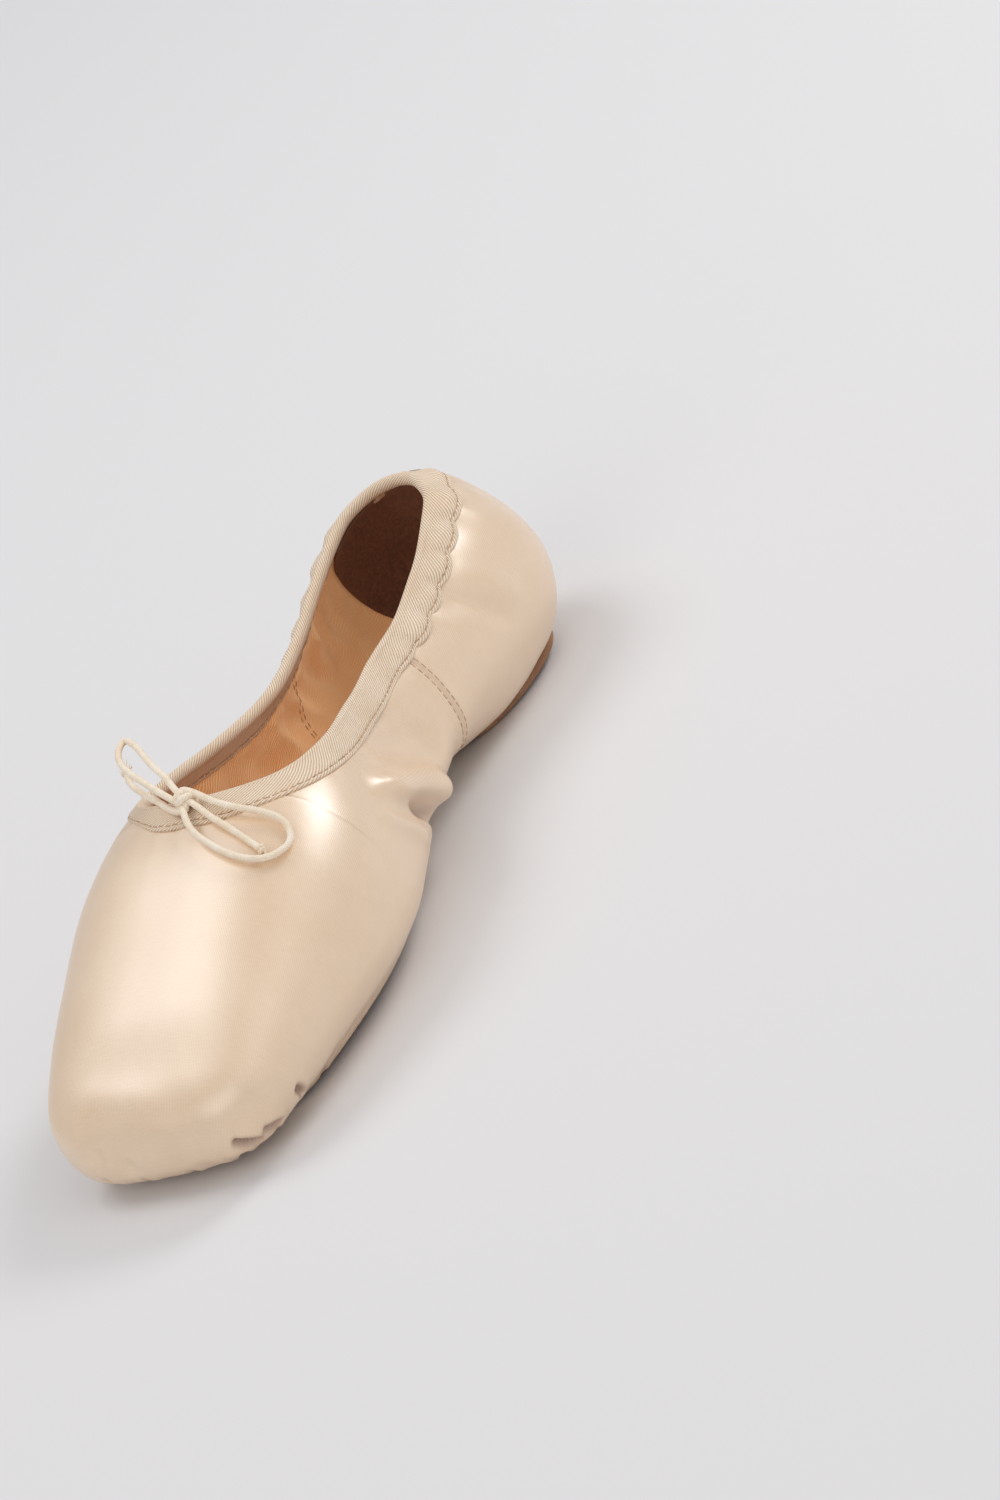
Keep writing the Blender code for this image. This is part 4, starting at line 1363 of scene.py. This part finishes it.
# The scoring under the ball of the foot: crossing curved lines inside a border that ends in a point
def scoring(points):
    x = points[:, 0] / mm
    y = (points[:, 1] - toeBack) / mm
    waver = softNoise(points, 17, 2.2) * outsoleScore["wander"]
    lean = math.radians(outsoleScore["lean"])
    depth = np.zeros(len(points))
    tip = outsoleScore["point"] - outsoleScore["spread"] * np.abs(x)
    inside = ease(0.0, 0.5, tip - y)
    inner = ease(0.0, 0.5, tip - outsoleScore["border"] - y)
    for sign in (-1, 1):
        curve = outsoleScore["curve"] * (y - 60) * np.abs(x)
        lines = sign * x * math.cos(lean) + y * math.sin(lean) + sign * waver + curve
        lines = lines / outsoleScore["spacing"]
        apart = np.abs(lines - np.round(lines)) * outsoleScore["spacing"]
        depth += np.exp(-((apart / outsoleScore["width"]) ** 2)) * inner
    for shift in (0.0, outsoleScore["border"]):
        depth += np.exp(-(((tip - shift - y) * 0.85 / outsoleScore["width"]) ** 2))
    rungs = (x + 0.4 * waver) / outsoleScore["rungs"]
    apart = np.abs(rungs - np.round(rungs)) * outsoleScore["rungs"]
    between = ease(0.0, 0.5, tip - y) * ease(0.4, -0.1, tip - outsoleScore["border"] - y)
    depth += np.exp(-((apart / outsoleScore["width"]) ** 2)) * between
    return np.minimum(depth, 1.0) * outsoleScore["depth"] * mm * ease(0.0, 1.5, y - outsoleScore["start"] + 4)


def shapeUnder(piece, raised):
    places, normals = corners(piece)
    moveCorners(piece, places + normals * raised(places)[:, None])


# Edges of the flat pieces: inset from the edge and offset from the last, from the face to the back.
# The heel pad's has a groove for its stitches.
leatherEdge = [
    (0.9, 2.40), (0.45, 2.30), (0.18, 2.10), (0.05, 1.80),
    (0.0, 1.40), (0.0, 0.9), (0.05, 0.35), (0.3, 0.0),
]
padGroove = [(3.2, 2.40), (2.75, 2.34), (2.45, 2.05), (2.2, 1.92), (1.95, 2.05), (1.65, 2.30)]
sockEdge = [(1.2, -4.5), (0.4, -4.42), (0.08, -4.2), (0.0, -3.7), (0.0, -2.75)]
padStitch = {"inset": 2.2, "offset": 2.08}


def makeSoles():
    outsole = solePlate("outsoleLeather", soles["outsole"], [(1.6, 2.42)] + leatherEdge, 56, 0.55)[0]
    shapeUnder(outsole, lambda places: -scoring(places))
    finish(outsole, soleFinish)
    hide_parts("outsole")
    pad, edge = solePlate("heelPadLeather", soles["heelPad"], padGroove + leatherEdge, 22, 0.8)
    finish(pad, padFinish)
    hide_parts("heel_pad")
    path, normals = [], []
    for (x, y), middle in zip(edge, plateMiddles(soles["heelPad"], edge)):
        share = 1 - padStitch["inset"] * mm / math.hypot(x, y - middle)
        place, normal = underside(share * x, middle + share * (y - middle) + toeBack)
        path.append(place + normal * padStitch["offset"] * mm)
        normals.append(normal)
    finish(stitchRows("heelPadStitches", [(np.array(path), np.array(normals))]), threadAndShadeFinish)
    insole = solePlate("insoleSock", soles["insole"], sockEdge, 26, 1.2, inside=True)[0]
    finish(insole, suedeFinish)
    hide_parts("insole")


print("making the soles")
makeSoles()

# The suede inside the heel, cut on a slant and laid over the lining
heelLining = {
    "depth": 2.75,
    "thick": 0.5,
    "cutAt": (0, 84, 44),
    "cutAlong": (13, -25),
    "from": 0.62,
    "columns": 90,
    "rows": 60,
    "belowThroat": 3.5,
}


def makeHeelLining():
    places = np.linspace(heelLining["from"] * aroundLast, aroundLast, heelLining["columns"])

    def topEdge(rib, along):
        return along[-1] - throatDrop(rib) - heelLining["belowThroat"] * mm

    shares = np.linspace(0, 1, heelLining["rows"])
    points, pattern = halfSurface(places, shares, fromTheMiddle, topEdge)
    points = np.concatenate([points, points[-2::-1] * mirror])
    pattern = np.concatenate([pattern, pattern[-2::-1] * planMirror])
    skin = clothGrid("heelSuede", points, pattern, inwards=True)
    sheet = sheetOf(skin)
    y, z = heelLining["cutAlong"]
    everything = sheet.verts[:] + sheet.edges[:] + sheet.faces[:]
    bmesh.ops.bisect_plane(
        sheet,
        geom=everything,
        plane_co=Vector(heelLining["cutAt"]) * mm,
        plane_no=Vector((0, z, -y)).normalized(),
        clear_outer=True,
    )
    sheet.to_mesh(skin.data)
    sheet.free()
    places, normals = corners(skin)
    hollow = np.minimum(satinShape(places), 0)
    loose = 0.5 * liningShape(places) - 0.12 * mm * softNoise(places, 6, 3.3)
    moveCorners(skin, places + normals * (heelLining["depth"] * mm - hollow - loose)[:, None])
    shell = skin.modifiers.new("thickness", "SOLIDIFY")
    shell.thickness = heelLining["thick"] * mm
    shell.offset = 0.0
    return finish(skin, suedeFinish)


print("lining the heel")
makeHeelLining()

# The strip of satin up the back of the heel
strip = {
    "width": 12.5,
    "thick": 0.9,
    "step": 0.5,
    "rows": 110,
    "stitchFromEdge": 1.3,
    "stitchLift": 0.75,
    "abovePad": 0.3,
    "belowThroat": 7.0,
}


def makeBackStrip():
    rib = lastRibs(np.array([aroundLast]))[0][0]
    along = lengthsAlong(rib)
    start = along[np.nonzero(rib[:, 1] > soles["heelPad"]["back"] * mm + strip["abovePad"] * mm)[0][0]]
    end = along[-1] - throatDrop(rib) - strip["belowThroat"] * mm
    middle = atDistance(rib, np.linspace(start, end, strip["rows"])) + toFrame
    steps = round(strip["width"] / 2 / strip["step"])
    right, rightNormals = marchOver(middle, [(1, 0, 0)] * len(middle), steps, strip["step"])
    left, leftNormals = marchOver(middle, [(-1, 0, 0)] * len(middle), steps, strip["step"])
    points = np.concatenate([left[:, :0:-1], right], axis=1)
    normals = unit(smoothed(np.concatenate([leftNormals[:, :0:-1], rightNormals], axis=1), 4))
    count = points.shape[1]
    across = np.abs(np.arange(count) - (count - 1) / 2) * strip["step"]
    edge = strip["width"] / 2
    rise = strip["thick"] - 0.25 * np.exp(-(((edge - across - strip["stitchFromEdge"]) / 0.35) ** 2))
    rise = np.where(across > edge - 0.3, strip["thick"] * 0.75, rise)
    laid = points + normals * (rise * mm)[None, :, None]
    tucked = points - 0.2 * mm * normals
    laid = np.concatenate([tucked[:, :1], laid, tucked[:, -1:]], axis=1)
    pattern = np.zeros(laid.shape[:2] + (2,))
    pattern[:, :, 0] = np.linspace(-edge, edge, laid.shape[1])[None, :] * mm
    pattern[:, :, 1] = np.linspace(start, end, strip["rows"])[:, None]
    piece = finish(clothGrid("backStripSatin", laid, pattern), satinFinish)
    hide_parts("back_strip")
    k = round((edge - strip["stitchFromEdge"]) / strip["step"])
    rows = []
    for side, ups in ((left, leftNormals), (right, rightNormals)):
        rows.append((side[:, k] + ups[:, k] * strip["stitchLift"] * mm, ups[:, k]))
    finish(stitchRows("backStripStitches", rows), threadAndShadeFinish)


print("making the back strip")
makeBackStrip()

# Seams in the satin: one across the shoe behind the outsole, one along the middle between the soles
seams = {
    "sideAt": satin["seamAt"],
    "rowsApart": 2.0,
    "middleFrom": 142.6,
    "middleTo": 171.0,
    "zigzag": 4.6,
    "zigzagStep": 1.5,
    "liningBehind": 7,
    "liningRowsApart": 1.4,
}


def surfaceOf(piece):
    sheet = sheetOf(piece)
    tree = BVHTree.FromBMesh(sheet)
    sheet.free()
    return tree


def laidOn(tree, points, lift):
    laid, normals = [], []
    for point in points:
        place, normal, _, _ = tree.find_nearest(Vector(point))
        laid.append(place + normal * lift * mm)
        normals.append(normal)
    return np.array(laid), unit(smoothed(np.array(normals), 3))


# Two rows on each side of the side seam, then the lining's seam behind it, then the zigzags underneath
def makeSeams():
    rows = []
    place = outlineAt(seams["sideAt"])
    for shift in (-seams["rowsApart"] / 2, seams["rowsApart"] / 2):
        rib = lastRibs(np.array([place + shift * mm]))[0][0]
        along = lengthsAlong(rib)
        end = along[-1] - throatDrop(rib) - 8.4 * mm
        half = atDistance(rib, np.linspace(0, end, 120)) + toFrame
        path = np.concatenate([half[:0:-1] * mirror, half])
        rows.append(laidOn(satinTree, path, 0.04))
    finish(stitchRows("sideSeamStitches", rows), threadAndShadeFinish)
    rows = []
    liningTree = surfaceOf(liningSkin)
    rib = lastRibs(np.array([place + seams["liningBehind"] * mm]))[0][0]
    along = lengthsAlong(rib)
    end = along[-1] - throatDrop(rib) - 8.0 * mm
    half = atDistance(rib, np.linspace(0.3 * along[-1], end, 70)) + toFrame
    for side in (1, -1):
        for shift in (-seams["liningRowsApart"] / 2, seams["liningRowsApart"] / 2):
            path = half * np.array([side, 1, 1]) - np.array([2.0 * side, -shift, 0]) * mm
            rows.append(laidOn(liningTree, path, 0.06))
    finish(stitchRows("liningSeamStitches", rows), seamThreadAndShadeFinish)
    rows = []
    for offset in (-0.5, 0.0, 0.5):
        steps = np.arange(seams["middleFrom"], seams["middleTo"], seams["zigzagStep"] / 2)
        swing = np.where(np.arange(len(steps)) % 2 == 0, -1, 1) * seams["zigzag"] / 6
        across = offset * seams["zigzag"] / 1.5
        path = [((across + turn) * mm, step * mm + toeBack, 0.004) for step, turn in zip(steps, swing)]
        laid, normals = laidOn(satinTree, path, 0.02)
        rows.extend((laid[k : k + 2], normals[k : k + 2]) for k in range(len(laid) - 1))
    finish(stitchRows("middleSeamStitches", rows), threadAndShadeFinish)


print("sewing the seams")
satinTree = surfaceOf(satinShell)
makeSeams()

# The floor and soft studio light
stage = {
    "floor": (226, 225, 226),
    "world": (0.97, 0.97, 1.0),
    "worldStrength": 0.48,
    "lamps": [
        # name, direction from the shoe, how far, size, watts, colour
        ("back", (0.40, 0.68, 0.60), 1.6, 0.6, 7.8, (1.0, 0.998, 0.99)),
        ("left", (-0.46, 0.06, 0.89), 1.6, 0.9, 6.0, (1.0, 0.995, 0.985)),
        ("inside", (0.55, -0.12, 0.83), 1.6, 1.1, 1.5, (1.0, 0.98, 0.95)),
        ("front", (0.10, -0.85, 0.50), 1.7, 1.3, 5.2, (1.0, 0.98, 0.95)),
        ("right", (0.88, -0.10, 0.35), 1.7, 1.8, 2.8, (1.0, 0.96, 0.90)),
    ],
}


def makeStage():
    sheet = bmesh.new()
    bmesh.ops.create_grid(sheet, x_segments=1, y_segments=1, size=6.0)
    mesh = bpy.data.meshes.new("floor")
    sheet.to_mesh(mesh)
    sheet.free()
    floor = bpy.data.objects.new("floor", mesh)
    bpy.context.scene.collection.objects.link(floor)
    made, _, shader = newMaterial("floorPaper", 0.85)
    shader.inputs["Base Color"].default_value = tone(*stage["floor"])
    mesh.materials.append(made)
    bpy.context.scene.view_settings.view_transform = "Standard"
    for name, way, far, size, watts, colour in stage["lamps"]:
        at = Vector(way).normalized() * far
        lamp = bpy.data.lights.new(name, "AREA")
        lamp.shape = "DISK"
        lamp.size = size
        lamp.energy = watts
        lamp.color = colour
        made = bpy.data.objects.new(name, lamp)
        made.location = at
        made.rotation_euler = (Vector((0, 0, 0.03)) - at).to_track_quat("-Z", "Y").to_euler()
        bpy.context.scene.collection.objects.link(made)
    world = bpy.data.worlds.new("studio")
    world.use_nodes = True
    light = world.node_tree.nodes["Background"].inputs
    light["Color"].default_value = (*stage["world"], 1.0)
    light["Strength"].default_value = stage["worldStrength"]
    bpy.context.scene.world = world


print("setting the stage")
makeStage()
